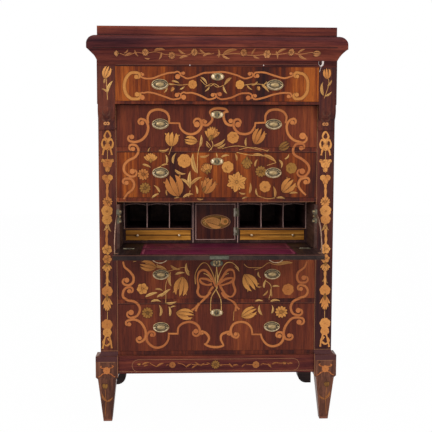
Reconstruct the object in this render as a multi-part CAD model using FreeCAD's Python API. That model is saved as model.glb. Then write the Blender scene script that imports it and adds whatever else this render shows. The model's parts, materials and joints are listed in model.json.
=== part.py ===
import FreeCAD, Part
import math
import os

# A tall chest of drawers whose fourth drawer is a writing desk with a falling front.
# The origin is on the floor, midway between the left and right ends of the cornice and
# midway between the open fall's edge and the back. +X is to the right of a person who
# faces the desk, +Y runs from front to back, +Z is up. Drawers count from the top.
# While the pieces are made, Y is zero at the front of the lower drawers.

V = FreeCAD.Vector
UP = V(0, 0, 1)
ACROSS = V(1, 0, 0)
BACKWARDS = V(0, 1, 0)
CENTRE = V(0, 0, 0)

# Carcass
carcass_width = 918.0
carcass_depth = 535.0
panel_thickness = 20.0
back_thickness = 12.0
pilaster_width = 69.0
pilaster_thickness = 22.0
frieze_projection = 30.0
rail_height = 17.0
rail_depth = 60.0
frieze_rail_height = 11.0
runner_width = 75.0
guide_height = 22.0
overrun = 5.0

# Heights of the drawer openings, from the top drawer to the bottom one
opening_1_height = 132.0
opening_2_height = 164.0
opening_3_height = 179.0
secretaire_height = 198.0
opening_5_height = 161.0
opening_6_height = 192.0

# Legs, base rail and rear feet
leg_height = 176.0
leg_top_width = 72.0
leg_top_depth = 64.0
leg_foot_width = 34.0
leg_foot_depth = 32.0
block_height = 92.0
block_projection = 19.0
block_front = 15.0
block_depth = 72.0
block_chamfer = 8.0
flare_height = 17.0
flare_bow_share = 0.17
base_rail_front = 8.0
base_rail_thickness = 20.0
base_rail_rise = 21.0
base_bead_radius = 3.0
rear_foot_width = 62.0
rear_foot_depth = 50.0
rear_foot_round = 40.0

# Frieze board, cornice and crown
frieze_board_height = 23.0
cornice_projection = 35.0
cove_height = 41.0
cove_sagitta = 4.0
cornice_face_height = 15.0
ovolo_height = 36.0
cornice_wall = 40.0
crown_height = 35.0
crown_inset = 2.0
crown_wall = 22.0

# Consoles under the frieze corners
console_height = 100.0
console_inset = 2.0
console_lip = 9.0
console_roll = 6.0
console_roll_height = 12.0
console_waist_share = 0.45
console_bulge_share = 0.16

# Drawers
front_thickness = 20.0
front_gap = 1.0
side_thickness = 12.0
drawer_back_thickness = 10.0
drawer_bottom_thickness = 7.0
drawer_bottom_lift = 8.0
drawer_headroom = 9.0
drawer_back_drop = 6.0
drawer_stop_gap = 23.0
running_gap = 0.3

# Locks and keyholes
lock_width = 62.0
lock_height = 44.0
lock_depth = 9.0
keyhole_width = 6.0
keyhole_height = 15.0
escutcheon_half_width = 25.0
escutcheon_half_height = 14.0
escutcheon_thickness = 1.4
escutcheon_face_share = 0.9
ring_radius = 10.5
ring_bore = 8.0
ring_height = 1.2

# Handles: an oval plate, two eyes and a bail that hangs from them
handle_spacing = 440.0
plate_half_width = 32.0
plate_half_height = 20.5
plate_thickness = 1.4
plate_face_share = 0.93
boss_half_width = 17.0
boss_half_height = 9.0
boss_height = 1.6
boss_face_share = 0.7
eye_spacing = 47.0
eye_radius = 2.9
eye_thickness = 4.0
bail_pivot_height = 6.3
bail_pivot_lift = 1.5
bail_half_width = 28.2
bail_drop = 18.0
bail_end_radius = 12.0
bail_radius = 1.5
pin_radius = 1.0
pin_clearance = 0.05
pin_overhang = 0.9
bail_pass_gap = 2.0
oval_sides = 16
rod_sides = 8
bail_bends = 4

# Heights of handles above the middle of their opening, and of keyholes below its top
handle_1_lift = -1.0
handle_2_lift = 9.0
handle_3_lift = 9.0
handle_5_lift = 19.5
handle_6_lift = 2.0
fall_handle_lift = 4.0
keyhole_drop = 38.0
keyhole_5_drop = 18.0

# Secretaire drawer and its fall, pulled out and open as it stands
secretaire_pull = 58.0
fall_thickness = 18.0
fall_underside_gap = 1.0
lip_thickness = 7.5
bed_thickness = 10.0
hinge_gap = 0.5
sweep_gap = 1.2
secretaire_headroom = 8.0
secretaire_back_thickness = 12.0
leather_thickness = 1.2
leather_side_border = 87.0
leather_border = 26.0
leather_edge = 9.0
selvedge_width = 70.0
selvedge_thickness = 1.5
selvedge_inset = 3.0

# Fall hinges
hinge_length = 42.0
hinge_inset = 14.0
hinge_leaf_width = 20.0
hinge_leaf_thickness = 1.6
knuckle_radius = 3.4
knuckle_pin_radius = 1.3
knuckle_relief = 0.5
knuckle_count = 3

# Quadrant stays and the slotted plates that they run through
stay_radius = 133.0
stay_width = 14.0
stay_thickness = 3.0
stay_inset = 1.8
stay_clearance = 0.6
stay_plate_angle = 1.6
stay_tail_angle = 5.2
stay_lug = 7.0
groove_tail_angle = 6.2
stay_foot_length = 30.0
stay_foot_width = 15.0
stay_foot_thickness = 2.0
slot_plate_height = 56.0
slot_plate_thickness = 2.0
slot_plate_round = 5.5

# Fitted interior: pigeonholes, small drawers and a cupboard
case_setback = 187.0
case_wall = 8.0
case_base = 9.0
cupboard_width = 169.0
cupboard_wall = 15.0
door_thickness = 14.0
door_gap = 0.7
small_drawer_height = 45.0
small_front_thickness = 10.0
small_wall = 6.0
small_bottom = 4.0
small_drawer_gap = 0.5
small_drawer_short = 12.0
knob_spacing = 171.0
knob_radius = 5.0
knob_neck_radius = 2.2
knob_length = 10.0
knob_base_radius = 4.2
knob_base_height = 1.2
knob_waist_share = 0.4
knob_tip_share = 0.6
knob_sides = 10
divider_thickness = 5.0
divider_scoop = 9.0
pigeonhole_count = 3
valance_thickness = 4.0
valance_height = 9.0
valance_rise = 5.0
door_hinge_height = 34.0
door_hinge_inset = 20.0
door_knuckle_radius = 2.5
door_leaf_width = 7.0
door_leaf_thickness = 0.8
door_axis_step = 1.0
door_axis_rise = 2.8

# Places that follow from the sizes above
carcass_half = carcass_width / 2
opening_half = carcass_half - pilaster_width
front_half = opening_half - front_gap
inner_half = carcass_half - panel_thickness
back_front = carcass_depth - back_thickness
drawer_end = back_front - drawer_stop_gap

base_underside = leg_height + base_rail_rise
block_top = leg_height + block_height
floor_6 = block_top + flare_height
top_6 = floor_6 + opening_6_height
floor_5 = top_6 + rail_height
top_5 = floor_5 + opening_5_height
bail_hang = bail_pivot_height + bail_drop + bail_radius
fall_rail_height = bail_hang + bail_pass_gap - fall_underside_gap - front_gap
floor_4 = top_5 + fall_rail_height
top_4 = floor_4 + secretaire_height
floor_3 = top_4 + rail_height
top_3 = floor_3 + opening_3_height
floor_2 = top_3 + rail_height
top_2 = floor_2 + opening_2_height
floor_1 = top_2 + frieze_rail_height
top_1 = floor_1 + opening_1_height
frieze_top = top_1 + frieze_board_height
cove_top = frieze_top + cove_height
cornice_face_top = cove_top + cornice_face_height
cornice_top = cornice_face_top + ovolo_height
crown_top = cornice_top + crown_height

hinge_y = fall_thickness
bed_top = floor_4 + fall_underside_gap + fall_thickness
fall_reach = top_4 - front_gap - bed_top
bed_front = hinge_y + hinge_gap
case_front = hinge_y + case_setback
secretaire_back_front = drawer_end - secretaire_back_thickness
secretaire_inner_half = front_half - side_thickness
leather_half = secretaire_inner_half - leather_side_border
secretaire_top = top_4 - secretaire_headroom
pivot_z = bail_pivot_lift
stay_span = (front_half - stay_inset - stay_thickness, front_half - stay_inset)
stay_middle = bed_top + stay_radius - stay_width / 2
case_floor = bed_top + case_base
case_ceiling = secretaire_top - case_wall
shelf_underside = case_floor + small_drawer_height
shelf_top = shelf_underside + case_wall
door_edge_x = cupboard_width / 2 - door_gap
door_axis_x = cupboard_width / 2 + door_axis_step
door_axis_y = case_front - door_axis_rise

open_edge = hinge_y - secretaire_pull - fall_reach
origin_y = (open_edge + carcass_depth) / 2

nodes = {}


def cuboid(x_span, y_span, z_span):
    low = V(x_span[0], y_span[0], z_span[0])
    high = V(x_span[1], y_span[1], z_span[1])
    size = high - low
    return Part.makeBox(size.x, size.y, size.z, low)


def even(half):
    return (-half, half)


def mirrored(shape):
    return shape.mirror(CENTRE, ACROSS)


def both_sides(shapes):
    return shapes + [mirrored(shape) for shape in shapes]


def moved(shape, x=0, y=0, z=0):
    copy = shape.copy()
    copy.translate(V(x, y, z))
    return copy


def moved_all(shapes, x=0, y=0, z=0):
    return [moved(shape, x, y, z) for shape in shapes]


def arc(start, through, end):
    return Part.Arc(start, through, end).toShape()


def line(start, end):
    return Part.makeLine(start, end)


def bowed(start, end, bow):
    """An arc from start to end whose middle stands off the chord by the vector bow."""
    return arc(start, (start + end) * 0.5 + bow, end)


def prism(edges, along):
    return Part.Face(Part.Wire(edges)).extrude(along)


def polygon(points):
    return Part.makePolygon(points + points[:1])


def ring(centre, first, second, sides):
    """Corners of an evenly cut oval round centre. first and second are its half axes."""
    corners = []
    for index in range(sides):
        turn = 2 * math.pi * (index + 0.5) / sides
        corners.append(centre + first * math.cos(turn) + second * math.sin(turn))
    return corners


def skin(rings):
    """A solid with flat faces from each ring of corners to the next, closed at both ends."""
    faces = [Part.Face(polygon(rings[0])), Part.Face(polygon(rings[-1]))]
    for near, far in zip(rings, rings[1:]):
        for index in range(len(near)):
            corners = [near[index - 1], near[index], far[index], far[index - 1]]
            faces.append(Part.Face(polygon(corners)))
    shell = Part.Shell(faces)
    shell.sewShape()
    solid = Part.Solid(shell)
    return solid if solid.Volume > 0 else solid.reversed()


def rod(centre, along, first, second, sides=rod_sides):
    """A straight bar from centre, as long as the vector along, with flat facets."""
    return Part.Face(polygon(ring(centre, first, second, sides))).extrude(along)


def bore(centre, along, first, second, radius):
    """The room for a pin of that radius, with flat facets that clear it all round."""
    clear = (radius + pin_clearance) / math.cos(math.pi / rod_sides)
    return rod(centre, along, first * clear, second * clear)


def oval_plate(half_width, half_height, face_share, y_back, y_front):
    """A flat oval with sloping edges, wide at y_back and narrower at y_front."""
    wide, tall = ACROSS * half_width, UP * half_height
    return skin([ring(V(0, y_back, 0), wide, tall, oval_sides),
                 ring(V(0, y_front, 0), wide * face_share, tall * face_share, oval_sides)])


# Carcass pieces

def side_panel():
    board = cuboid((inner_half, carcass_half), (pilaster_thickness, carcass_depth),
                   (base_underside, top_1))
    block_room = cuboid((inner_half - overrun, carcass_half + overrun),
                        (pilaster_thickness - overrun, block_depth - block_front),
                        (base_underside - overrun, block_top))
    return board.cut(block_room)


def back_panel():
    return cuboid(even(inner_half), (back_front, carcass_depth), (base_underside, top_1))


def pilaster():
    return cuboid((opening_half, carcass_half), (0, pilaster_thickness), (floor_6, top_2))


def frieze_corner():
    return cuboid((opening_half, carcass_half), (-frieze_projection, pilaster_thickness),
                  (top_2, top_1))


def console():
    """The scrolled bracket, drawn from the side and made as wide as the pilaster."""
    top = top_2
    foot = top - console_height
    waist_y = -frieze_projection * console_waist_share
    waist_z = foot + console_height * console_waist_share
    bulge = console_height * console_bulge_share / 2
    x = opening_half + console_inset
    lip = V(x, -frieze_projection, top - console_lip)
    waist = V(x, waist_y, waist_z)
    roll_top = V(x, -console_roll, foot + console_roll_height)
    roll_foot = V(x, 0, foot)
    edges = [line(V(x, 0, top), V(x, -frieze_projection, top)),
             line(V(x, -frieze_projection, top), lip),
             bowed(lip, waist, V(0, -bulge, 0)),
             bowed(waist, roll_top, V(0, bulge / 2, 0)),
             bowed(roll_top, roll_foot, V(0, -console_roll / 2, -console_roll / 2)),
             line(roll_foot, V(x, 0, top))]
    return prism(edges, V(pilaster_width - 2 * console_inset, 0, 0))


def rail(floor, height, front):
    """A dividing rail whose ends pass behind the pilasters to the side panels."""
    top = floor + height
    shown = cuboid(even(opening_half), (front, rail_depth), (floor, top))
    hidden = cuboid(even(inner_half), (pilaster_thickness, rail_depth), (floor, top))
    return shown.fuse(hidden).removeSplitter()


def dividing_rails():
    return [rail(top_2, frieze_rail_height, -frieze_projection),
            rail(top_3, rail_height, 0), rail(top_4, rail_height, 0),
            rail(top_5, fall_rail_height, 0), rail(top_6, rail_height, 0)]


def runner(floor, height):
    """The strip that a drawer side runs on, along one side panel behind a rail."""
    return cuboid((inner_half - runner_width, inner_half), (rail_depth, back_front),
                  (floor - height, floor))


def guide(floor):
    """The strip beside a drawer that keeps it straight."""
    return cuboid((opening_half, inner_half), (pilaster_thickness, back_front),
                  (floor, floor + guide_height))


def bottom_board():
    shown = cuboid(even(opening_half), (0, back_front), (block_top, floor_6))
    behind = cuboid(even(inner_half), (pilaster_thickness, back_front),
                    (block_top, floor_6))
    return shown.fuse(behind).removeSplitter()


def base_rail():
    board = cuboid(even(opening_half), (-base_rail_front, base_rail_thickness - base_rail_front),
                   (base_underside, block_top))
    bead = Part.makeCylinder(base_bead_radius, opening_half * 2,
                             V(-opening_half, -base_rail_front,
                               block_top - base_bead_radius), ACROSS)
    return board.fuse(bead).removeSplitter()


def rectangle(x_span, y_span, z):
    return [V(x_span[0], y_span[0], z), V(x_span[1], y_span[0], z),
            V(x_span[1], y_span[1], z), V(x_span[0], y_span[1], z)]


def centred(middle, size):
    return (middle - size / 2, middle + size / 2)


def flare():
    """The hollow moulding that widens the pilaster's foot to the block, mitred."""
    wide_x = carcass_half + block_projection
    front = [line(V(0, 0, floor_6), V(0, pilaster_thickness, floor_6)),
             line(V(0, pilaster_thickness, floor_6), V(0, pilaster_thickness, block_top)),
             line(V(0, pilaster_thickness, block_top), V(0, -block_front, block_top)),
             bowed(V(0, -block_front, block_top), V(0, 0, floor_6),
                   V(0, block_front, -flare_height) * flare_bow_share)]
    side = [line(V(0, 0, floor_6), V(carcass_half, 0, floor_6)),
            bowed(V(carcass_half, 0, floor_6), V(wide_x, 0, block_top),
                  V(-block_projection, 0, -flare_height) * flare_bow_share),
            line(V(wide_x, 0, block_top), V(0, 0, block_top)),
            line(V(0, 0, block_top), V(0, 0, floor_6))]
    across = prism(front, V(wide_x, 0, 0))
    along = moved(prism(side, V(0, block_front + pilaster_thickness, 0)), y=-block_front)
    inner = cuboid((0, opening_half), (-block_front - overrun, carcass_depth),
                   (block_top - overrun, floor_6 + overrun))
    return across.common(along).cut(inner)


def front_leg():
    """A square tapering leg, its block and the flare that carries the pilaster."""
    outer = carcass_half + block_projection
    block_x = (opening_half, outer)
    block_y = (-block_front, block_depth - block_front)
    middle_x = sum(block_x) / 2
    middle_y = sum(block_y) / 2
    shoulder = leg_height + block_chamfer
    top_ring = rectangle(block_x, block_y, shoulder)
    leg_ring = rectangle(centred(middle_x, leg_top_width), centred(middle_y, leg_top_depth),
                         leg_height)
    foot_ring = rectangle(centred(middle_x, leg_foot_width), centred(middle_y, leg_foot_depth), 0)
    block = cuboid(block_x, block_y, (shoulder, block_top))
    return skin([foot_ring, leg_ring, top_ring]).fuse([block, flare()]).removeSplitter()


def rear_foot():
    """A bracket foot with a rounded inner corner, glued up inside the carcass corner."""
    inner_x = carcass_half - rear_foot_width
    front = carcass_depth - rear_foot_depth
    centre_x = inner_x + rear_foot_round
    slant = rear_foot_round * math.sqrt(0.5)
    edges = [line(V(carcass_half, front, 0), V(carcass_half, front, base_underside)),
             line(V(carcass_half, front, base_underside), V(inner_x, front, base_underside)),
             line(V(inner_x, front, base_underside), V(inner_x, front, rear_foot_round)),
             arc(V(inner_x, front, rear_foot_round),
                 V(centre_x - slant, front, rear_foot_round - slant), V(centre_x, front, 0)),
             line(V(centre_x, front, 0), V(carcass_half, front, 0))]
    lower = prism(edges, V(0, rear_foot_depth, 0))
    upper = cuboid((inner_x, inner_half), (front, back_front), (base_underside, block_top))
    return lower.fuse(upper).removeSplitter()


def frieze_board():
    return cuboid(even(carcass_half), (-frieze_projection, carcass_depth), (top_1, frieze_top))


def cornice_edge(x_or_y, low_reach, high_reach):
    """The cornice's outline from its foot to its top, at reaches measured outwards."""
    cove_bow = cove_sagitta * math.sqrt(0.5)
    inward = x_or_y(-cove_bow, cove_bow) - x_or_y(0, 0)
    quarter = math.sqrt(0.5)
    run = high_reach - low_reach
    mid = x_or_y(low_reach + run * quarter, cornice_face_top + ovolo_height * quarter)
    return [bowed(x_or_y(low_reach, frieze_top), x_or_y(high_reach, cove_top), inward),
            line(x_or_y(high_reach, cove_top), x_or_y(high_reach, cornice_face_top)),
            arc(x_or_y(high_reach, cornice_face_top), mid, x_or_y(low_reach, cornice_top))]


def cornice():
    """The moulding round the front and both ends, mitred, with the back left open."""
    wide = carcass_half + cornice_projection
    front_reach = frieze_projection + cornice_projection
    span = wide + overrun
    right = cornice_edge(lambda reach, z: V(reach, 0, z), carcass_half, wide)
    left = cornice_edge(lambda reach, z: V(-reach, 0, z), carcass_half, wide)
    over = line(V(carcass_half, 0, cornice_top), V(-carcass_half, 0, cornice_top))
    under = line(V(-carcass_half, 0, frieze_top), V(carcass_half, 0, frieze_top))
    across = prism(right + [over] + left[::-1] + [under], V(0, carcass_depth + front_reach, 0))
    across = moved(across, y=-front_reach)
    front = cornice_edge(lambda reach, z: V(-span, -reach, z), frieze_projection, front_reach)
    along = prism(front + [line(V(-span, -frieze_projection, cornice_top),
                                V(-span, carcass_depth, cornice_top)),
                           line(V(-span, carcass_depth, cornice_top),
                                V(-span, carcass_depth, frieze_top)),
                           line(V(-span, carcass_depth, frieze_top),
                                V(-span, -frieze_projection, frieze_top))],
                  V(span * 2, 0, 0))
    inside = cuboid(even(carcass_half - cornice_wall),
                    (cornice_wall - frieze_projection, carcass_depth + overrun),
                    (frieze_top - overrun, cornice_top + overrun))
    return across.common(along).cut(inside)


def crown():
    half = carcass_half - crown_inset
    front = crown_inset - frieze_projection
    block = cuboid(even(half), (front, carcass_depth), (cornice_top, crown_top))
    hollow = cuboid(even(half - crown_wall), (front + crown_wall, carcass_depth - crown_wall),
                    (cornice_top - overrun, crown_top - crown_wall / 2))
    return block.cut(hollow)


def make_carcass():
    nodes["side_panel_left"] = [mirrored(side_panel())]
    nodes["side_panel_right"] = [side_panel()]
    nodes["back_panel"] = [back_panel()]
    nodes["pilaster_left"] = [mirrored(pilaster())]
    nodes["pilaster_right"] = [pilaster()]
    nodes["frieze_corners"] = both_sides([frieze_corner()])
    nodes["consoles"] = both_sides([console()])
    nodes["frieze_board"] = [frieze_board()]
    nodes["cornice"] = [cornice()]
    nodes["crown"] = [crown()]
    nodes["base_rail"] = [base_rail()]
    nodes["front_leg_left"] = [mirrored(front_leg())]
    nodes["front_leg_right"] = [front_leg()]
    nodes["rear_feet"] = both_sides([rear_foot()])
    nodes["bottom_board"] = [bottom_board()]
    nodes["dividing_rails"] = dividing_rails()
    pairs = [(floor_1, frieze_rail_height), (floor_2, rail_height), (floor_3, rail_height),
             (floor_4, fall_rail_height), (floor_5, rail_height)]
    strips = [runner(floor, height) for floor, height in pairs]
    strips += [guide(floor) for floor in (floor_1, floor_2, floor_3, floor_4, floor_5, floor_6)]
    nodes["drawer_runners"] = both_sides(strips)


# Handles and locks

def handle_fittings():
    """An oval plate with its raised middle and two eyes, round the origin at y zero."""
    plate = oval_plate(plate_half_width, plate_half_height, plate_face_share,
                       0, -plate_thickness)
    boss = oval_plate(boss_half_width, boss_half_height, boss_face_share,
                      -plate_thickness, -plate_thickness - boss_height)
    half = eye_spacing / 2
    return [plate.fuse(boss).removeSplitter(), moved(eye(), half), moved(eye(), -half)]


def eye():
    """A round-headed eye that stands on the plate, bored for the bail's pin."""
    x = -eye_thickness / 2
    rise = UP * eye_radius
    foot = V(x, -plate_thickness, pivot_z)
    middle = V(x, -bail_pivot_height, pivot_z)
    edges = [line(foot - rise, foot + rise), line(foot + rise, middle + rise),
             bowed(middle + rise, middle - rise, BACKWARDS * -eye_radius),
             line(middle - rise, foot - rise)]
    across = ACROSS * eye_thickness
    return prism(edges, across).cut(bore(middle, across, BACKWARDS, UP, pin_radius))


def bail_stations():
    """Points down the left arm, along the bottom and up the right arm, each with its heading.
    Small arcs at the arms meet a long one along the bottom."""
    reach = bail_half_width - bail_end_radius
    slack = bail_drop - bail_end_radius
    lift = (reach ** 2 - slack ** 2) / (2 * slack)
    tilt = math.atan2(lift, reach)
    sweep = math.pi - 2 * tilt
    left, right = (-reach, 0, bail_end_radius), (reach, 0, bail_end_radius)
    bottom = (0, lift, bail_drop + lift)
    turns = [(left, tilt * share) for share in (0, 0.5)]
    turns += [(bottom, tilt + sweep * index / bail_bends) for index in range(bail_bends + 1)]
    turns += [(right, math.pi - tilt * share) for share in (0.5, 0)]
    stations = []
    for (x, z, radius), turn in turns:
        place = V(x - radius * math.cos(turn), -bail_pivot_height,
                  pivot_z + z - radius * math.sin(turn))
        stations.append((place, V(math.sin(turn), 0, -math.cos(turn))))
    return stations


def bail():
    """A swinging loop with a pin turned in at each end."""
    stations = bail_stations()
    over = UP * bail_radius
    stations = ([(stations[0][0] + over, stations[0][1])] + stations
                + [(stations[-1][0] + over, stations[-1][1])])
    shape = skin([ring(place, BACKWARDS * bail_radius, heading.cross(BACKWARDS) * bail_radius,
                       rod_sides) for place, heading in stations])
    pin_end = (eye_spacing - eye_thickness) / 2 - pin_overhang
    for side in (1, -1):
        tip = V(side * bail_half_width, -bail_pivot_height, pivot_z)
        inwards = ACROSS * (side * (pin_end - bail_half_width))
        shape = shape.fuse(rod(tip, inwards, BACKWARDS * pin_radius, UP * pin_radius))
    return shape.removeSplitter()


def escutcheon():
    """An oval plate with a raised ring and a keyhole, round the origin at y zero."""
    plate = oval_plate(escutcheon_half_width, escutcheon_half_height, escutcheon_face_share,
                       0, -escutcheon_thickness)
    face = V(0, -escutcheon_thickness, 0)
    rise = BACKWARDS * -ring_height
    outer = rod(face, rise, ACROSS * ring_radius, UP * ring_radius, oval_sides)
    inner = rod(face, rise, ACROSS * ring_bore, UP * ring_bore, oval_sides)
    hole = cuboid(even(keyhole_width / 2), (-overrun, overrun), even(keyhole_height / 2))
    return plate.fuse(outer.cut(inner)).cut(hole)


def lock(top, y_back):
    """A lock case let into the back of a front, flush with the front's top edge."""
    return cuboid(even(lock_width / 2), (y_back - lock_depth, y_back),
                  (top - lock_height, top))


# Ordinary drawers

def drawer_front(floor, height, face, keyhole_z):
    top = floor + height - front_gap
    back = face + front_thickness
    board = cuboid(even(front_half), (face, back), (floor + front_gap, top))
    board = board.cut(lock(top, back))
    mortise = cuboid(even(keyhole_width / 2), (face - overrun, back - lock_depth),
                     centred(keyhole_z, keyhole_height))
    return board.cut(mortise)


def drawer_box(floor, height, face):
    """Two sides, a bottom and a back, behind a front."""
    low = floor + running_gap
    high = floor + height - drawer_headroom
    start = face + front_thickness
    inner = front_half - side_thickness
    back_start = drawer_end - drawer_back_thickness
    bottom_z = (low + drawer_bottom_lift, low + drawer_bottom_lift + drawer_bottom_thickness)
    side = cuboid((inner, front_half), (start, drawer_end), (low, high))
    bottom = cuboid(even(inner), (start, drawer_end), bottom_z)
    back = cuboid(even(inner), (back_start, drawer_end),
                  (bottom_z[1], high - drawer_back_drop))
    return both_sides([side]) + [bottom, back]


def make_drawer(number, floor, height, face, handle_lift, drop):
    name = "drawer_%d" % number
    handle_z = floor + height / 2 + handle_lift - pivot_z
    keyhole_z = floor + height - drop
    x = handle_spacing / 2
    nodes[name + "_front"] = [drawer_front(floor, height, face, keyhole_z)]
    nodes[name + "_box"] = drawer_box(floor, height, face)
    handles = moved_all(handle_fittings(), x, face, handle_z)
    handles += moved_all(handle_fittings(), -x, face, handle_z)
    plate = moved(escutcheon(), y=face, z=keyhole_z)
    case = lock(floor + height - front_gap, face + front_thickness)
    nodes[name + "_fittings"] = handles + [plate, case]
    nodes[name + "_bail_left"] = [moved(bail(), -x, face, handle_z)]
    nodes[name + "_bail_right"] = [moved(bail(), x, face, handle_z)]


def make_drawers():
    make_drawer(1, floor_1, opening_1_height, -frieze_projection, handle_1_lift, keyhole_drop)
    make_drawer(2, floor_2, opening_2_height, 0, handle_2_lift, keyhole_drop)
    make_drawer(3, floor_3, opening_3_height, 0, handle_3_lift, keyhole_drop)
    make_drawer(5, floor_5, opening_5_height, 0, handle_5_lift, keyhole_5_drop)
    make_drawer(6, floor_6, opening_6_height, 0, handle_6_lift, keyhole_drop)


# Secretaire drawer, made as if pushed in, and its fall, made as if closed

def pulled(shapes):
    """The drawer's pieces as they stand, pulled out."""
    return moved_all(shapes, y=-secretaire_pull)


def opened(shapes):
    """The fall's pieces as they stand, let down on the stays of the pulled drawer."""
    copies = [shape.copy() for shape in shapes]
    for copy in copies:
        copy.rotate(V(0, hinge_y, bed_top), ACROSS, 90)
    return pulled(copies)


def sector(inner_radius, outer_radius, x_span, start, end):
    """Part of a ring round the hinge line. Angles in degrees go from up to backwards."""
    def place(radius, angle):
        turn = math.radians(angle)
        return V(x_span[0], hinge_y + radius * math.sin(turn),
                 bed_top + radius * math.cos(turn))

    middle = (start + end) / 2
    edges = [arc(place(outer_radius, start), place(outer_radius, middle),
                 place(outer_radius, end)),
             line(place(outer_radius, end), place(inner_radius, end)),
             arc(place(inner_radius, end), place(inner_radius, middle),
                 place(inner_radius, start)),
             line(place(inner_radius, start), place(outer_radius, start))]
    return prism(edges, V(x_span[1] - x_span[0], 0, 0))


def stay_room():
    """The curved groove in a drawer side's outer face, open at its front edge."""
    return sector(stay_radius - stay_width - stay_lug - stay_clearance,
                  stay_radius + stay_clearance,
                  (stay_span[0] - stay_clearance, front_half + overrun),
                  -groove_tail_angle, 90 + groove_tail_angle)


def quadrant_stay():
    """A brass arc on the fall. The lug at its tail stops behind the slotted plate."""
    arm = sector(stay_radius - stay_width, stay_radius, stay_span, 0, 90 + stay_tail_angle)
    lug = sector(stay_radius - stay_width - stay_lug, stay_radius, stay_span,
                 90 + stay_plate_angle, 90 + stay_tail_angle)
    return arm.fuse([lug, stay_foot()]).removeSplitter()


def stay_foot():
    x_end = stay_span[1]
    return cuboid((x_end - stay_foot_width, x_end),
                  (hinge_y - stay_foot_thickness, hinge_y),
                  centred(stay_middle, stay_foot_length))


def slot_plate():
    """The plate let into a drawer side's front edge, with the slot for the stay."""
    plate = slot_plate_room()
    slot = cuboid((stay_span[0] - stay_clearance, stay_span[1] + stay_clearance),
                  (bed_front - overrun, bed_front + overrun),
                  centred(stay_middle, stay_width + 2 * stay_clearance))
    return plate.cut(slot)


def slot_plate_room():
    """The plate's own outline, with rounded ends, through its thickness."""
    low, high = centred(stay_middle, slot_plate_height - 2 * slot_plate_round)
    corners = [V(secretaire_inner_half, bed_front, low), V(secretaire_inner_half, bed_front, high),
               V(front_half, bed_front, high), V(front_half, bed_front, low)]
    edges = [line(corners[0], corners[1]),
             bowed(corners[1], corners[2], V(0, 0, slot_plate_round)),
             line(corners[2], corners[3]),
             bowed(corners[3], corners[0], V(0, 0, -slot_plate_round))]
    return prism(edges, V(0, slot_plate_thickness, 0))


def secretaire_side():
    board = cuboid((secretaire_inner_half, front_half), (bed_front, drawer_end),
                   (floor_4 + running_gap, secretaire_top))
    lip_room = cuboid((secretaire_inner_half - overrun, front_half + overrun),
                      (hinge_y - overrun, hinge_y + fall_thickness + sweep_gap),
                      (floor_4 - overrun, bed_top - bed_thickness))
    return board.cut(stay_room()).cut(slot_plate_room()).cut(lip_room)


def hinge_spans():
    """The left and right ends of each fall hinge."""
    high = secretaire_inner_half - hinge_inset
    return [(high - hinge_length, high), (-high, hinge_length - high)]


def knuckle_room(x_span):
    radius = knuckle_radius + knuckle_relief
    return Part.makeCylinder(radius, x_span[1] - x_span[0],
                             V(x_span[0], hinge_y, bed_top), ACROSS)


def hinge_half(x_span, own_parity):
    """One leaf, lying on the writing bed, with every second knuckle of the barrel."""
    pitch = (x_span[1] - x_span[0]) / knuckle_count
    start = hinge_y + knuckle_radius + knuckle_relief
    low = bed_top - hinge_leaf_thickness
    leaf = cuboid(x_span, (start, hinge_y + hinge_leaf_width), (low, bed_top))
    parts = []
    for index in range(own_parity, knuckle_count, 2):
        x = x_span[0] + index * pitch
        length = pitch - running_gap
        parts.append(rod(V(x, hinge_y, bed_top), ACROSS * length,
                         BACKWARDS * knuckle_radius, UP * knuckle_radius))
        parts.append(cuboid((x, x + length), (hinge_y + knuckle_pin_radius + pin_clearance, start),
                            (low, bed_top)))
    room = bore(V(x_span[0], hinge_y, bed_top), ACROSS * (x_span[1] - x_span[0]),
                BACKWARDS, UP, knuckle_pin_radius)
    return leaf.fuse(parts).removeSplitter().cut(room)


def hinge_pin(x_span):
    return Part.makeCylinder(knuckle_pin_radius, x_span[1] - x_span[0],
                             V(x_span[0], hinge_y, bed_top), ACROSS)


def leaf_room(x_span):
    """The recess in the bed for one leaf, with the room for the barrel."""
    flat = cuboid(x_span, (hinge_y, hinge_y + hinge_leaf_width),
                  (bed_top - hinge_leaf_thickness, bed_top + overrun))
    return flat.fuse(knuckle_room(x_span))


def folded(shape):
    """A piece that lies on the bed, turned up as its like lies on the closed fall."""
    return shape.mirror(V(0, hinge_y, bed_top), BACKWARDS - UP)


def writing_bed():
    board = cuboid(even(secretaire_inner_half), (bed_front, drawer_end),
                   (bed_top - bed_thickness, bed_top))
    for x_span in hinge_spans():
        board = board.cut(leaf_room(x_span))
    return board.cut(bed_leather())


def bed_leather():
    return cuboid(even(leather_half), (bed_front + leather_edge, case_front - leather_border),
                  (bed_top - leather_thickness, bed_top))


def secretaire_back():
    return cuboid(even(secretaire_inner_half), (secretaire_back_front, drawer_end),
                  (bed_top, secretaire_top - drawer_back_drop))


def fall_leather():
    return cuboid(even(leather_half), (hinge_y - leather_thickness, hinge_y),
                  (bed_top + leather_edge, bed_top + fall_reach - leather_border))


def fall_lock():
    """A lock case in the middle of the fall's thickness, under the edge plate."""
    top = bed_top + fall_reach
    return cuboid(even(lock_width / 2), centred(fall_thickness / 2, lock_depth),
                  (top - lock_height, top - selvedge_thickness))


def edge_plate():
    top = bed_top + fall_reach
    return cuboid(even(selvedge_width / 2), (selvedge_inset, fall_thickness - selvedge_inset),
                  (top - selvedge_thickness, top))


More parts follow.
